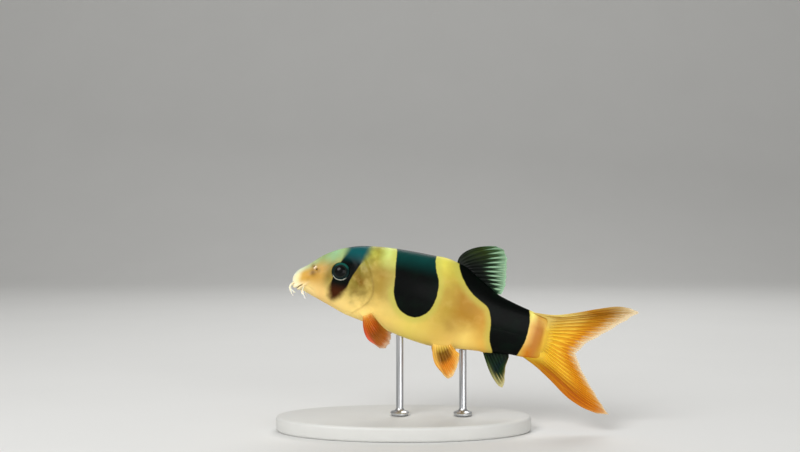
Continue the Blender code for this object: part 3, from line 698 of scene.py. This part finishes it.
def line_bump(points, path, width):
    """A rounded line along a path on the skin, which fades out at both ends."""
    steps = np.linspace(0.0, len(path) - 1.0, LINE_STEPS * len(path))
    corners = np.arange(len(path))
    stations = np.interp(steps, corners, [station for station, _ in path])
    angles = np.interp(steps, corners, [math.radians(degrees) for _, degrees in path])
    spots = skin_point(stations, angles)
    nearest = np.full(len(points), np.inf)
    passed = np.zeros(len(points))
    for i, (start, end) in enumerate(zip(spots, spots[1:])):
        away, share = from_run(points, start, end)
        passed = np.where(away < nearest, (i + share) / (len(spots) - 1), passed)
        nearest = np.minimum(nearest, away)
    ends = smooth_step(passed / LINE_FADE) * smooth_step((1 - passed) / LINE_FADE)
    return bump(nearest, width) * ends


def fold_relief(points):
    """The folds, grooves and soft swellings of the head, the flank and the fins' roots."""
    height = np.zeros(len(points))
    mirrored = points * np.array((1.0, -1.0, 1.0))
    for path, width, rise in FOLDS:
        side = line_bump(points, path, width)
        height += rise * np.maximum(side, line_bump(mirrored, path, width))
    for station, degrees, radius, rise in SWELLINGS:
        seat = skin_point(station, math.radians(degrees))
        for places in (points, mirrored):
            height += rise * bump(np.linalg.norm(places - seat, axis=1), radius)
    return height


def nostril_relief(points):
    """Two pits close together on each side, with a pale flap that stands up between them."""
    raised = np.zeros(len(points))
    hollow = np.zeros(len(points))
    flap = np.zeros(len(points))
    for _, right in SIDES:
        angle = on_side(NOSTRIL_ANGLE, right)
        away = points - skin_point(NOSTRIL_STATION, angle)
        outwards = skin_normal(NOSTRIL_STATION, angle)
        backwards = unit(np.array(NOSTRIL_LINE))
        backwards = unit(backwards - outwards * (backwards @ outwards))
        run = away @ backwards
        across = away @ np.cross(outwards, backwards)
        near = bump(np.linalg.norm(away, axis=1), NOSTRIL_REACH)
        for shift, size in ((-NOSTRIL_SPACING, 1.0), (NOSTRIL_SPACING, 0.85)):
            distance = np.hypot(run - shift, across) / size
            pit = 1 - smooth_step((distance / NOSTRIL_RADIUS - 0.45) / 0.55)
            rim = bump(distance - 1.25 * NOSTRIL_RADIUS, NOSTRIL_RIM)
            raised += near * (NOSTRIL_RIM_HEIGHT * rim - NOSTRIL_DEPTH * pit)
            # Each pit is also marked where shade is painted into the skin's colour.
            hollow += near * pit
        stands = bump(run + 0.1 * NOSTRIL_SPACING, FLAP_THICKNESS)
        stands *= bump((across / FLAP_WIDTH) ** 2, 1.0)
        raised += near * FLAP_HEIGHT * stands
        flap += near * stands
    return raised, np.clip(hollow - 1.2 * flap, 0.0, 1.0), np.clip(flap, 0.0, 1.0)


def eye_frame(right):
    """The eye's centre and the way that it looks, in the fish's own frame."""
    around = on_side(EYE_ANGLE, right)
    outwards = skin_normal(EYE_STATION, around)
    outwards[0] = EYE_FORWARD
    outwards[2] *= EYE_UPWARD
    outwards = unit(outwards)
    return skin_point(EYE_STATION, around) - outwards * EYE_SINK, outwards


def open_eye_socket(points, right):
    """Folds the skin into a round rim at the eye and on into a socket behind the ball."""
    centre, outwards = eye_frame(right)
    from_centre = points - centre
    height = from_centre @ outwards
    across = from_centre - height[:, None] * outwards
    reach = np.linalg.norm(across, axis=1)
    wide, deep = EYE_RADIUS + EYE_CLEARANCE, EYE_DEPTH + EYE_CLEARANCE
    rim_angle = math.asin(EYE_OPENING / wide)
    rim_height = deep * math.cos(rim_angle)
    outside = reach - EYE_OPENING
    fold = rim_height + LID_HEIGHT * bump(outside - LID_WIDTH, LID_WIDTH)
    blend = 1 - smooth_step((outside - LID_WIDTH) / (LID_REACH - EYE_OPENING - LID_WIDTH))
    outer_height = height + (fold - height) * blend
    angle = math.pi - reach / EYE_OPENING * (math.pi - rim_angle)
    inside = reach < EYE_OPENING
    new_height = np.where(inside, deep * np.cos(angle), outer_height)
    new_reach = np.where(inside, wide * np.sin(angle), reach)
    stretch = new_reach / np.maximum(reach, 1e-9)
    moved = centre + across * stretch[:, None] + new_height[:, None] * outwards
    near = (reach < LID_REACH) & (height > -LID_DEPTH)
    return np.where(near[:, None], moved, points)


def divide_near(bm, features):
    """Makes the mesh finer round each feature, given as station, angle around and radius."""
    chosen = []
    for station, around, radius in features:
        share = math.sqrt(station / (1.0 + TAIL_ROOT_LENGTH)) * math.pi
        way = Vector((
            math.sin(share) * math.cos(around), math.sin(share) * math.sin(around), math.cos(share)
        ))
        for face in bm.faces:
            if (face.calc_center_median() - way).length < radius:
                chosen.append(face)
    edges = list({edge for face in chosen for edge in face.edges})
    bmesh.ops.subdivide_edges(bm, edges=edges, cuts=1, use_grid_fill=True)


def make_skin():
    """Head, trunk and tail stem as one skin, with the sockets of the eyes and all its relief."""
    bm = bmesh.new()
    bmesh.ops.create_uvsphere(bm, u_segments=SKIN_SIDES, v_segments=SKIN_ROWS, radius=1.0)
    spots = (
        (EYE_STATION, EYE_ANGLE, FINE_AT_EYE), (NOSTRIL_STATION, NOSTRIL_ANGLE, FINE_AT_NOSTRIL),
    )
    features = [(at, turn * angle, radius) for turn in (1, -1) for at, angle, radius in spots]
    divide_near(bm, features)
    ball = vertices_of(bm)
    ball /= np.linalg.norm(ball, axis=1, keepdims=True)
    around = np.mod(np.arctan2(ball[:, 1], ball[:, 0]), 2 * math.pi)
    share = np.arccos(np.clip(ball[:, 2], -1.0, 1.0)) / math.pi
    along = share * share * (1.0 + TAIL_ROOT_LENGTH)
    plain = skin_point(along, around)
    normals = skin_normal(np.maximum(along, 1e-4), around)
    gill, gill_slit = gill_relief(along, around)
    mouth, lips, mouth_slit = mouth_relief(along, around)
    nostril, pit, flap = nostril_relief(plain)
    blush = sum(
        strength * bump(np.hypot(along - station, plain[:, 2] / STANDARD_LENGTH - height), radius)
        for station, height, radius, strength in BLUSHES
    )
    raised = gill + mouth + nostril + fold_relief(plain)
    points = plain + raised[:, None] * normals
    for _, right in SIDES:
        points = open_eye_socket(points, right)
    flat = plain[:, [0, 2]] / STANDARD_LENGTH
    on_right = np.maximum(-np.sin(around), 0.0)
    waves = np.sin(BAND_WAVES_UP * flat[:, 1] + BAND_WAVES_ALONG * along)
    flat[:, 0] += BAND_WANDER * on_right * waves
    bands = [depth_inside(flat, outline) for outline in (EYE_BAND, SADDLE_BAND, REAR_BAND)]
    place_vertices(bm, points)
    piece = make_object(bm, "loach_skin", {
        "station": along,
        "height": flat[:, 1],
        "rise": np.cos(around),
        "band": np.max(bands, axis=0),
        "lip": lips,
        "flap": flap,
        # where shade is painted in the mouth slit and the nostril pits
        "hollow": np.clip(np.maximum(mouth_slit, pit), 0.0, 1.0),
        "gill": gill_slit,
        "blush": np.clip(blush, 0.0, 1.0),
    })
    return set_in(piece, skin_finish(), "body_skin", "head", "trunk", "tail_stem")


def fin_rays(share, out, rays, strong_edges):
    """1 along a ray and 0 in the web. Each ray splits in two on its way out, and again."""
    branch = np.mod(share * rays, 1.0) - 0.5
    for start, length, spread in (RAY_FORK, RAY_SECOND_FORK):
        branch = np.abs(branch) - spread * smooth_step((out - start) / length)
    width = RAY_WIDTH - RAY_NARROWING * smooth_step((out - RAY_FORK[0]) / 0.6)
    from_edge = share if strong_edges == 1 else np.minimum(share, 1 - share)
    return np.maximum(bump(branch, width), bump(from_edge * rays, EDGE_RAY_WIDTH))


def make_fin(
    name, nodes, rays, root, tip, bow, thickness, wave, flesh, material, slot, strong_edges=1
):
    """A fin as one closed blade: a fleshy foot, then rays that branch, with a thin web between.

    Root and tip give the two ends of each ray, and bow its bend. Wave is the size of the
    web's ripple, and flesh how far out the foot reaches.
    """
    def middle(share, reach):
        foot, out_of_body = root(share)
        foot = foot - out_of_body * ROOT_SUNK
        return foot + (tip(share) - foot) * reach[:, None] + bow(share, reach)

    bm = bmesh.new()
    bmesh.ops.create_grid(bm, x_segments=FIN_ROWS, y_segments=rays * COLUMNS_PER_RAY, size=0.5)
    made = bmesh.ops.extrude_face_region(bm, geom=bm.faces[:], use_keep_orig=True)
    raised = [item for item in made["geom"] if isinstance(item, bmesh.types.BMVert)]
    bmesh.ops.translate(bm, verts=raised, vec=(0.0, 0.0, 1.0))
    flat = vertices_of(bm)
    out, share = flat[:, 0] + 0.5, flat[:, 1] + 0.5
    face = np.where(flat[:, 2] > 0.5, 1.0, -1.0)
    ridge = fin_rays(share, out, rays, strong_edges)
    lengths = 1.0 - RAY_UNEVEN * np.abs(np.sin(share * rays * 1.7 + 0.6))
    notch = EDGE_NOTCH * (1 - ridge) * smooth_step((out - 0.7) / 0.3)
    reach = out * (1 - notch) * (1 - (1 - lengths) * out ** 4)
    before, after = np.maximum(share - FIN_STEP, 0.0), np.minimum(share + FIN_STEP, 1.0)
    spread = middle(after, reach) - middle(before, reach)
    outwards = middle(share, np.minimum(reach + FIN_STEP, 1.0)) - middle(share, reach - FIN_STEP)
    through = unit(np.cross(spread, outwards))
    ray = np.maximum(thickness * (1 - out) ** 0.8, RAY_TIP)
    web = np.maximum(WEB_SHARE * thickness * (1 - out) ** 1.6, WEB)
    from_side = np.minimum(share, 1 - share) * rays
    rounding = np.sqrt(np.clip(from_side / FIN_EDGE_ROUND + 0.04, 0.0, 1.0))
    fleshy = 1 - smooth_step(out / flesh)
    thick = (web + (ray - web) * np.maximum(ridge, fleshy)) * (rounding + FIN_FLESH * fleshy)
    ripple = sum(
        size * wave * out ** growth * np.sin(2 * math.pi * (across * share + along * out))
        for size, growth, across, along in RIPPLES
    )
    points = middle(share, reach) + through * (0.5 * face * thick + ripple)[:, None]
    lengths = np.linalg.norm(tip(share) - root(share)[0], axis=1)
    place_vertices(bm, points)
    piece = make_object(bm, name, {
        "share": share, "reach": out, "ray": ridge, "far": out * lengths / lengths.max(),
        "spoke": -np.cos(2 * math.pi * share * rays),
    })
    return set_in(piece, material, slot, *nodes)


def tip_curve(table, first):
    """Points along a fin's edge or foot, from two columns of its table."""
    along, up = column_curve(table, first), column_curve(table, first + 1)

    def place(share):
        return np.stack((along(share), 0.0 * share, up(share)), axis=-1) * STANDARD_LENGTH

    return place


def make_median_fin(name, node, table, material, around, rays, thickness, front_bow, start):
    """The dorsal or the anal fin, whose foot follows the back or the belly.

    A larger start makes the front edge bow out later on its way to the tip.
    """
    station = column_curve(table, 1)
    lean = np.array((-0.55, 0.0, 0.84 * math.cos(around)))

    def root(share):
        return skin_point(station(share), around), skin_normal(station(share), around)

    def bow(share, reach):
        size = front_bow * STANDARD_LENGTH * (1 - share) ** 3
        rise = np.maximum(reach, 0.0) ** start * (1 - reach)
        return (size * rise)[:, None] * lean

    tip = tip_curve(table, 2)
    return make_fin(
        name, (node,), rays, root, tip, bow, thickness, wave=0.00035, flesh=0.18,
        material=material, slot="dark_fin",
    )


def make_tail_fin(material):
    """Both lobes of the tail fin on one web, from the upper edge ray to the lower one."""
    halves = ((UPPER_LOBE_RAYS, UPPER_EDGE, 1), (LOWER_LOBE_RAYS, LOWER_EDGE, -1))
    lobes = [
        (tip_curve(table, 1), tip_curve(table, 3), smooth_curve(edge), sign)
        for table, edge, sign in halves
    ]

    def of_its_lobe(share, upper, lower):
        return np.where(share[:, None] < 0.5, upper, lower)

    def inwards(share):
        return 1 - np.abs(1 - 2 * share)

    def root(share):
        feet = of_its_lobe(share, *[foot(inwards(share)) for foot, _, _, _ in lobes])
        return feet, np.array((1.0, 0.0, 0.0))

    def tip(share):
        return of_its_lobe(share, *[end(inwards(share)) for _, end, _, _ in lobes])

    def bow(share, reach):
        inner = inwards(share)
        outer = 1 - smooth_step(inner / EDGE_SHARE)
        bows = []
        for _, _, swell, sign in lobes:
            rise = STANDARD_LENGTH * swell(reach) * outer
            rise += LOBE_BOW * (1 - outer) * reach * (1 - reach)
            bows.append((sign * rise * (1 - inner))[:, None] * np.array((0.0, 0.0, 1.0)))
        return of_its_lobe(share, *bows)

    return make_fin(
        "tail_blade", ("caudal_fin_upper", "caudal_fin_lower"), TAIL_RAYS, root, tip, bow,
        LOBE_THICKNESS, wave=0.0006, flesh=0.16, material=material, slot="tail_fin",
        strong_edges=2,
    )


def make_paired_fin(kind, side, right, tips, roots, bend, rays, thickness, material):
    """A pectoral or pelvic fin, rooted on the flank and held out from the body."""
    front, rear = roots
    hand = 1 if right else -1
    flat_tip = tip_curve(tips, 1)
    held_out = column_curve(tips, 3)
    bend = np.array((bend[0], hand * bend[1], bend[2]))

    def root(share):
        station = front[0] + (rear[0] - front[0]) * share
        angle = on_side(front[1] + (rear[1] - front[1]) * share, right)
        return skin_point(station, angle), skin_normal(station, angle)

    def tip(share):
        held = hand * STANDARD_LENGTH * held_out(share)
        return flat_tip(share) + held[:, None] * np.array((0.0, 1.0, 0.0))

    def bow(share, reach):
        return ((1 - 0.85 * share) * 4 * reach * (1 - reach))[:, None] * bend

    return make_fin(
        f"{kind}_blade_{side}", (f"{kind}_fin_{side}",), rays, root, tip, bow, thickness,
        wave=0.0006, flesh=0.36, material=material, slot="paired_fin",
    )


def fin_finish(
    name, colours, edge, tones, clear, sides, late=(0.0, 0.0), streaks=0.03, along="reach"
):
    """A thin fin whose colour runs out along the rays to a clear margin.

    Colours are those of the middle, the front and the rear, and sides is where the last two
    fade. Tones are those of the ray and of the web. Clear is where the web starts to clear,
    and how much of it stays at the edge; late is how much further out that is at the front
    and at the rear, and streaks how much further on each ray.
    """
    fin = Finish(name, {
        "Subsurface Weight": 0.1, "Subsurface Radius": (1.0, 0.6, 0.3),
        "Subsurface Scale": 0.0006, "Coat Weight": 0.05, "Coat Roughness": 0.12,
        "Roughness": 0.42, "Specular IOR Level": 0.12,
    })
    reach, share, ray = fin.value("reach"), fin.value("share"), fin.value("ray")
    cloud = fin.noise(260.0, 3.0)
    wander = (reach + (cloud - 0.5) * 0.12).clamped()
    colour, front, rear = [fin.ramp(wander, stops) for stops in colours]
    colour = fin.mix(share.between(sides[0], 0.02), colour, front)
    colour = fin.mix(share.between(sides[1], 0.98), colour, rear)
    rays_show = reach.between(0.0, 0.2)
    tone = fin.mix(ray, paint(*tones[1]), paint(*tones[0]))
    colour = fin.mix(rays_show, colour, tone, "MULTIPLY")
    later = share.between(0.55, 0.1) * late[0] + share.between(0.5, 0.85) * late[1]
    out = fin.value(along) + (cloud - 0.5) * 0.1 - later - fin.value("spoke") * streaks
    margin = out.between(clear[0], clear[0] + 0.3) * (1 - ray * 0.8)
    margin = (margin + reach.between(0.88 + 0.5 * later, 1.0) * 0.5).clamped()
    colour = fin.mix(margin, colour, paint(*edge))
    joints = (reach * RAY_JOINTS).sine()
    normal = fin.bumped(joints * ray, 0.00003, 0.5)
    normal = fin.bumped(fin.noise(1400.0, 4.0), 0.00006, 0.3, normal)
    return fin.done(Base_Color=colour, Normal=normal, Alpha=1 - margin * (1 - clear[1]))


TAIL_MIDDLE = (
    (0.0, 232, 186, 60), (0.15, 248, 218, 70), (0.4, 249, 210, 68), (0.7, 226, 160, 28),
    (1.0, 214, 150, 52),
)
TAIL_UPPER = (
    (0.0, 202, 172, 88), (0.28, 226, 210, 130), (0.55, 168, 116, 14), (1.0, 162, 134, 68),
)
TAIL_LOWER = (
    (0.0, 194, 152, 34), (0.25, 188, 122, 12), (0.6, 192, 110, 6), (1.0, 206, 132, 26),
)
DORSAL_MIDDLE = (
    (0.0, 2, 4, 3), (0.35, 3, 12, 5), (0.6, 14, 38, 12), (0.85, 26, 56, 22), (1.0, 90, 128, 84),
)
DORSAL_FRONT = (
    (0.0, 3, 8, 4), (0.3, 26, 40, 10), (0.6, 48, 62, 8), (0.9, 60, 92, 52), (1.0, 96, 136, 100),
)
DORSAL_REAR = ((0.0, 6, 26, 16), (0.5, 20, 58, 34), (1.0, 120, 160, 130))
ANAL_MIDDLE = (
    (0.0, 2, 8, 5), (0.35, 4, 34, 14), (0.55, 3, 32, 34), (0.75, 16, 52, 12), (1.0, 110, 104, 60),
)
ANAL_FRONT = ((0.0, 10, 30, 16), (0.3, 58, 84, 44), (0.55, 150, 152, 96), (1.0, 214, 204, 150))
ANAL_REAR = ((0.0, 6, 12, 6), (1.0, 20, 34, 10))
PECTORAL_MIDDLE = (
    (0.06, 240, 202, 108), (0.14, 208, 138, 42), (0.28, 196, 112, 22), (0.42, 178, 90, 12),
    (0.6, 146, 84, 10), (0.85, 170, 104, 32), (1.0, 196, 156, 120),
)
PECTORAL_FRONT = (
    (0.06, 240, 198, 106), (0.18, 206, 124, 38), (0.45, 210, 102, 60), (0.75, 224, 112, 90),
    (1.0, 226, 180, 160),
)
PECTORAL_REAR = ((0.06, 242, 204, 114), (0.36, 168, 112, 22), (1.0, 166, 112, 36))
PELVIC_MIDDLE = (
    (0.08, 240, 208, 110), (0.2, 200, 176, 76), (0.32, 126, 92, 12), (0.52, 132, 88, 6),
    (0.66, 212, 138, 34), (1.0, 236, 172, 70),
)
PELVIC_FRONT = ((0.0, 238, 208, 110), (0.6, 236, 196, 96), (1.0, 236, 176, 90))
PELVIC_REAR = ((0.0, 240, 208, 108), (0.4, 230, 178, 70), (1.0, 244, 196, 92))


def make_fins():
    dorsal = fin_finish(
        "dorsal_web", (DORSAL_MIDDLE, DORSAL_FRONT, DORSAL_REAR), edge=(162, 210, 166),
        tones=((150, 170, 150), (235, 240, 235)), clear=(0.51, 0.5), sides=(0.45, 0.8),
        late=(0.22, 0.0), streaks=0.15,
    )
    anal = fin_finish(
        "anal_web", (ANAL_MIDDLE, ANAL_FRONT, ANAL_REAR), edge=(216, 202, 120),
        tones=((170, 170, 160), (250, 250, 240)), clear=(0.62, 0.5), sides=(0.26, 0.6),
        streaks=0.08, along="far",
    )
    tail = fin_finish(
        "tail_web", (TAIL_MIDDLE, TAIL_UPPER, TAIL_LOWER), edge=(248, 222, 168),
        tones=((255, 250, 232), (222, 192, 140)), clear=(0.68, 0.4), sides=(0.42, 0.78),
        late=(0.0, 0.14),
    )
    pectoral = fin_finish(
        "pectoral_web", (PECTORAL_MIDDLE, PECTORAL_FRONT, PECTORAL_REAR), edge=(210, 170, 130),
        tones=((225, 190, 165), (250, 240, 225)), clear=(0.8, 0.6), sides=(0.3, 0.7),
    )
    pelvic = fin_finish(
        "pelvic_web", (PELVIC_MIDDLE, PELVIC_FRONT, PELVIC_REAR), edge=(250, 206, 112),
        tones=((232, 205, 175), (255, 245, 225)), clear=(0.76, 0.55), sides=(0.3, 0.62),
    )
    make_median_fin(
        "dorsal_blade", "dorsal_fin", DORSAL_RAYS, dorsal, around=0.0, rays=11,
        thickness=0.0012, front_bow=DORSAL_BOW, start=0.5,
    )
    make_median_fin(
        "anal_blade", "anal_fin", ANAL_RAYS, anal, around=math.pi, rays=8,
        thickness=0.0011, front_bow=ANAL_BOW, start=1.5,
    )
    make_tail_fin(tail)
    for side, right in SIDES:
        make_paired_fin(
            "pectoral", side, right, PECTORAL_TIPS, PECTORAL_ROOTS, PECTORAL_BOW,
            rays=10, thickness=0.0011, material=pectoral,
        )
        make_paired_fin(
            "pelvic", side, right, PELVIC_TIPS, PELVIC_ROOTS, PELVIC_BOW,
            rays=8, thickness=0.001, material=pelvic,
        )


def eye_finish():
    """A wide black pupil in a blue-black iris, a painted teal highlight above and a thin silver
    crescent on its lower rim.
    """
    eye = Finish("eye_gloss", {
        "Coat Weight": 0.2, "Coat Roughness": 0.02, "Roughness": 0.45, "Specular IOR Level": 0.06,
    })
    ring, lower = eye.value("ring"), eye.value("lower")
    rays = eye.noise(1500.0, 4.0)
    ragged = ring + (rays - 0.5) * 0.03
    colour = eye.ramp(ragged.clamped(), (
        (0.0, 1, 2, 2), (0.6, 1, 2, 2), (0.63, 40, 46, 32), (0.66, 10, 20, 20),
        (0.82, 7, 26, 26), (0.93, 16, 46, 44), (1.0, 10, 16, 14),
    ))
    # Painted teal highlight on the upper part of the iris.
    painted_teal_highlight = lower.between(-0.35, -0.85) * ragged.between(0.68, 0.9)
    colour = eye.mix(painted_teal_highlight * 0.8, colour, paint(26, 96, 84))
    on_rim = ragged.between(0.91, 0.95) * ragged.between(1.05, 0.99)
    crescent = lower.between(0.45, 0.85) * on_rim
    colour = eye.mix(crescent, colour, paint(232, 232, 214))
    return eye.done(Base_Color=colour, Metallic=crescent * 0.3)


def eye_turn(outwards):
    """Axes of the eye: two across it, the second one upward, and one out of it."""
    sideways = unit(np.cross(np.array((0.0, 0.0, 1.0)), outwards))
    return np.stack((sideways, np.cross(outwards, sideways), outwards))


def make_eye(side, right, finish):
    """A ball a little flattened along its look, whose front swells over pupil and iris."""
    centre, outwards = eye_frame(right)
    axes = eye_turn(outwards)
    bm = bmesh.new()
    bmesh.ops.create_uvsphere(bm, u_segments=128, v_segments=96, radius=1.0)
    ball = vertices_of(bm)
    across = np.hypot(ball[:, 0], ball[:, 1])
    on_iris = across * EYE_RADIUS / IRIS_RADIUS
    dome = CORNEA_RISE * smooth_step(CORNEA_STEEPNESS * (1 - on_iris))
    depth = ball[:, 2] * EYE_DEPTH + np.where(ball[:, 2] > 0, dome, 0.0)
    points = centre + ball[:, :2] * EYE_RADIUS @ axes[:2] + depth[:, None] * outwards
    place_vertices(bm, points)
    lower = -ball[:, 1] / np.maximum(across, 1e-6)
    ring = np.where(ball[:, 2] > 0, on_iris, 2.0)
    piece = make_object(bm, f"eye_ball_{side}", {"ring": ring, "lower": lower})
    return set_in(piece, finish, "eye", f"eye_{side}")


def make_eyes():
    finish = eye_finish()
    for side, right in SIDES:
        make_eye(side, right, finish)


def barbel_finish():
    feeler = Finish("barbel_skin", {
        "Subsurface Weight": 0.35, "Subsurface Radius": (1.0, 0.6, 0.4), "Subsurface Scale": 0.001,
        "Roughness": 0.35, "Coat Weight": 0.3,
    })
    reach = feeler.value("reach")
    colour = feeler.ramp(reach, (
        (0.0, 236, 204, 140), (0.2, 246, 236, 200), (1.0, 250, 250, 238),
    ))
    blush = feeler.noise(500.0, 3.0)
    colour = feeler.mix(blush.between(0.5, 0.8) * 0.3, colour, paint(226, 190, 130))
    rings = (reach * BARBEL_RINGS).sine()
    return feeler.done(Base_Color=colour, Normal=feeler.bumped(rings, 0.00003, 0.4))


def make_barbel(kind, side, right, station, degrees, length, curl_way, curl, material):
    """A soft feeler that leaves the skin square and curls over towards one direction."""
    angle = on_side(math.radians(degrees), right)
    way_out = skin_normal(station, angle)
    foot = skin_point(station, angle) + way_out * mouth_relief(station, angle)[0]
    curl_way = np.array((curl_way[0], curl_way[1] * (1 if right else -1), curl_way[2]))
    curl_way = unit(curl_way - way_out * (curl_way @ way_out))
    sideways = np.cross(way_out, curl_way)
    steps = np.linspace(0.0, 1.0, BARBEL_STEPS)
    turned = curl * smooth_step(1.3 * steps)
    ways = np.cos(turned)[:, None] * way_out + np.sin(turned)[:, None] * curl_way
    path = np.cumsum(ways, axis=0) * ((length + BARBEL_SUNK) / BARBEL_STEPS)
    path += foot - way_out * BARBEL_SUNK
    bm = bmesh.new()
    bmesh.ops.create_uvsphere(bm, u_segments=28, v_segments=90, radius=1.0)
    ball = vertices_of(bm)
    reach = np.arccos(np.clip(-ball[:, 2], -1.0, 1.0)) / math.pi
    across = ball[:, :2] / np.maximum(np.hypot(ball[:, 0], ball[:, 1]), 1e-9)[:, None]
    radius = BARBEL_RADIUS + (BARBEL_TIP_RADIUS - BARBEL_RADIUS) * reach
    rings = BARBEL_RING_HEIGHT * np.sin(reach * BARBEL_RINGS)
    radius *= 1 + BARBEL_FOOT * bump(reach, 0.1) + rings
    radius *= np.sqrt(np.clip(1 - reach ** 24, 0.0, 1.0)) * np.sqrt(np.clip(reach * 40, 0.0, 1.0))
    centre = np.stack([np.interp(reach, steps, column) for column in path.T], axis=-1)
    ahead = np.stack([np.interp(reach, steps, column) for column in ways.T], axis=-1)
    square = np.cross(unit(ahead), sideways)
    points = centre + (across[:, :1] * sideways + across[:, 1:] * square) * radius[:, None]
    place_vertices(bm, points)
    piece = make_object(bm, f"feeler_{kind}_{side}", {"reach": reach})
    return set_in(piece, material, "barbel", f"barbel_{kind}_{side}")


def make_barbels():
    material = barbel_finish()
    for kind, station, degrees, length, curl_way, curl in BARBELS:
        for side, right in SIDES:
            turned = math.radians(curl * (RIGHT_CURL if right else 1.0))
            make_barbel(kind, side, right, station, degrees, length, curl_way, turned, material)


def board_finish():
    """Pale matt paint on a turned board."""
    board = Finish("stand_paint", {"Roughness": 0.5, "Coat Weight": 0.1, "Coat Roughness": 0.3})
    grain = board.noise(90.0, 5.0)
    fine = board.noise(1500.0, 3.0)
    colour = board.mix(grain, paint(206, 206, 203), paint(214, 214, 210))
    return board.done(
        Base_Color=colour, Roughness=0.42 + fine * 0.12, Normal=board.bumped(fine, 0.00004, 0.3)
    )


def steel_finish():
    steel = Finish("stand_brushed_steel", {"Metallic": 1.0, "Specular IOR Level": 0.5})
    stretched = steel.node("Mapping", {}, {"Vector": steel.place(), "Scale": (1.0, 1.0, 0.03)})
    lines = steel.node("TexNoise", {}, {"Vector": stretched, "Scale": 4000.0, "Detail": 2.0}, "Fac")
    colour = steel.mix(lines, paint(188, 190, 192), paint(214, 216, 218))
    return steel.done(
        Base_Color=colour, Roughness=0.24 + lines * 0.14, Normal=steel.bumped(lines, 0.00002, 0.4)
    )


def make_base(material):
    low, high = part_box("stand_base")
    bm = bmesh.new()
    bmesh.ops.create_cone(bm, cap_ends=True, segments=160, radius1=0.5, radius2=0.5, depth=1.0)
    bmesh.ops.scale(bm, verts=bm.verts, vec=high - low)
    rim = [edge for edge in bm.edges if abs(edge.verts[0].co.z - edge.verts[1].co.z) < 1e-6]
    bmesh.ops.bevel(
        bm, geom=rim, offset=BASE_BEVEL, offset_type="OFFSET", segments=6, profile=0.5,
        affect="EDGES", material=-1,
    )
    bmesh.ops.translate(bm, verts=bm.verts, vec=0.5 * (low + high))
    piece = make_object(bm, "stand_board")
    return set_in(piece, material, "stand_board", "stand_base")


def make_rod(node, station, material):
    """A rod with a turned foot, which ends in the skin of the belly."""
    low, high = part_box(node)
    belly = in_place(skin_point(station, math.pi), SHIFT)
    profile = [(radius, low.z + height) for radius, height in ROD_FOOT]
    profile += [(ROD_RADIUS, high.z), (0.0, high.z)]
    bm = bmesh.new()
    rim = [bm.verts.new((radius, 0.0, height)) for radius, height in profile]
    edges = [bm.edges.new(pair) for pair in zip(rim, rim[1:])]
    bmesh.ops.spin(
        bm, geom=rim + edges, cent=(0, 0, 0), axis=(0, 0, 1), angle=2 * math.pi,
        steps=64, use_merge=True,
    )
    bmesh.ops.remove_doubles(bm, verts=bm.verts, dist=1e-6)
    bmesh.ops.translate(bm, verts=bm.verts, vec=(belly[0], belly[1], 0.0))
    piece = make_object(bm, node.replace("rod", "post"))
    piece.data.set_sharp_from_angle(angle=math.radians(40))
    return set_in(piece, material, "stand_steel", node)


def make_stand():
    make_base(board_finish())
    steel = steel_finish()
    make_rod("stand_rod_front", FRONT_ROD_STATION, steel)
    make_rod("stand_rod_rear", REAR_ROD_STATION, steel)


def make_floor():
    """A pale floor that curves up into a plain backdrop."""
    bm = bmesh.new()
    bmesh.ops.create_grid(bm, x_segments=20, y_segments=80, size=0.5)
    for vertex in bm.verts:
        run = (vertex.co.y + 0.5) * FLOOR_LENGTH
        turned = min(max(run - FLOOR_FLAT, 0.0) / FLOOR_CURVE, 0.5 * math.pi)
        climb = max(run - FLOOR_FLAT - FLOOR_CURVE * 0.5 * math.pi, 0.0)
        y = min(run, FLOOR_FLAT) + FLOOR_CURVE * math.sin(turned) - FLOOR_FRONT
        z = FLOOR_CURVE * (1 - math.cos(turned)) + climb
        vertex.co = (vertex.co.x * FLOOR_WIDTH, y, z)
    bmesh.ops.recalc_face_normals(bm, faces=bm.faces)
    mesh = bpy.data.meshes.new("studio_floor")
    bm.to_mesh(mesh)
    bm.free()
    mesh.shade_smooth()
    floor = bpy.data.objects.new("studio_floor", mesh)
    bpy.context.scene.collection.objects.link(floor)
    paper = Finish("studio_paper", {"Roughness": 0.85})
    tone = paper.mix(paper.noise(12.0, 2.0), paint(222, 222, 220), paint(226, 226, 224))
    mesh.materials.append(paper.done(Base_Color=tone))


def make_lamps():
    """Three soft lamps that look at the fish, and a little light from all round."""
    scene = bpy.context.scene
    for name, place, size, power in LAMPS:
        light = bpy.data.lights.new(name, "AREA")
        light.shape = "DISK"
        light.size = size
        light.energy = power
        lamp = bpy.data.objects.new(name, light)
        lamp.location = place
        look = Vector(LAMP_AIM) - lamp.location
        lamp.rotation_euler = look.to_track_quat("-Z", "Y").to_euler()
        scene.collection.objects.link(lamp)
    world = bpy.data.worlds.new("studio_air")
    scene.world = world
    world.use_nodes = True
    sky = world.node_tree.nodes["Background"]
    sky.inputs["Color"].default_value = (1.0, 0.99, 0.97, 1.0)
    sky.inputs["Strength"].default_value = 0.3


def make_camera():
    """The camera that sees the fish as in the photo."""
    scene = bpy.context.scene
    view = bpy.data.cameras.new("photo_view")
    view.lens = 50.0
    view.sensor_width = 36.0
    view.clip_start = 0.01
    camera = bpy.data.objects.new("photo_view", view)
    camera.location = CAMERA_PLACE
    camera.rotation_euler = (math.pi / 2 - CAMERA_DIP, 0.0, 0.0)
    scene.collection.objects.link(camera)
    scene.camera = camera
    scene.view_settings.view_transform = "Standard"


make_floor()
make_lamps()
make_camera()
make_skin()
make_fins()
make_eyes()
make_barbels()
make_stand()
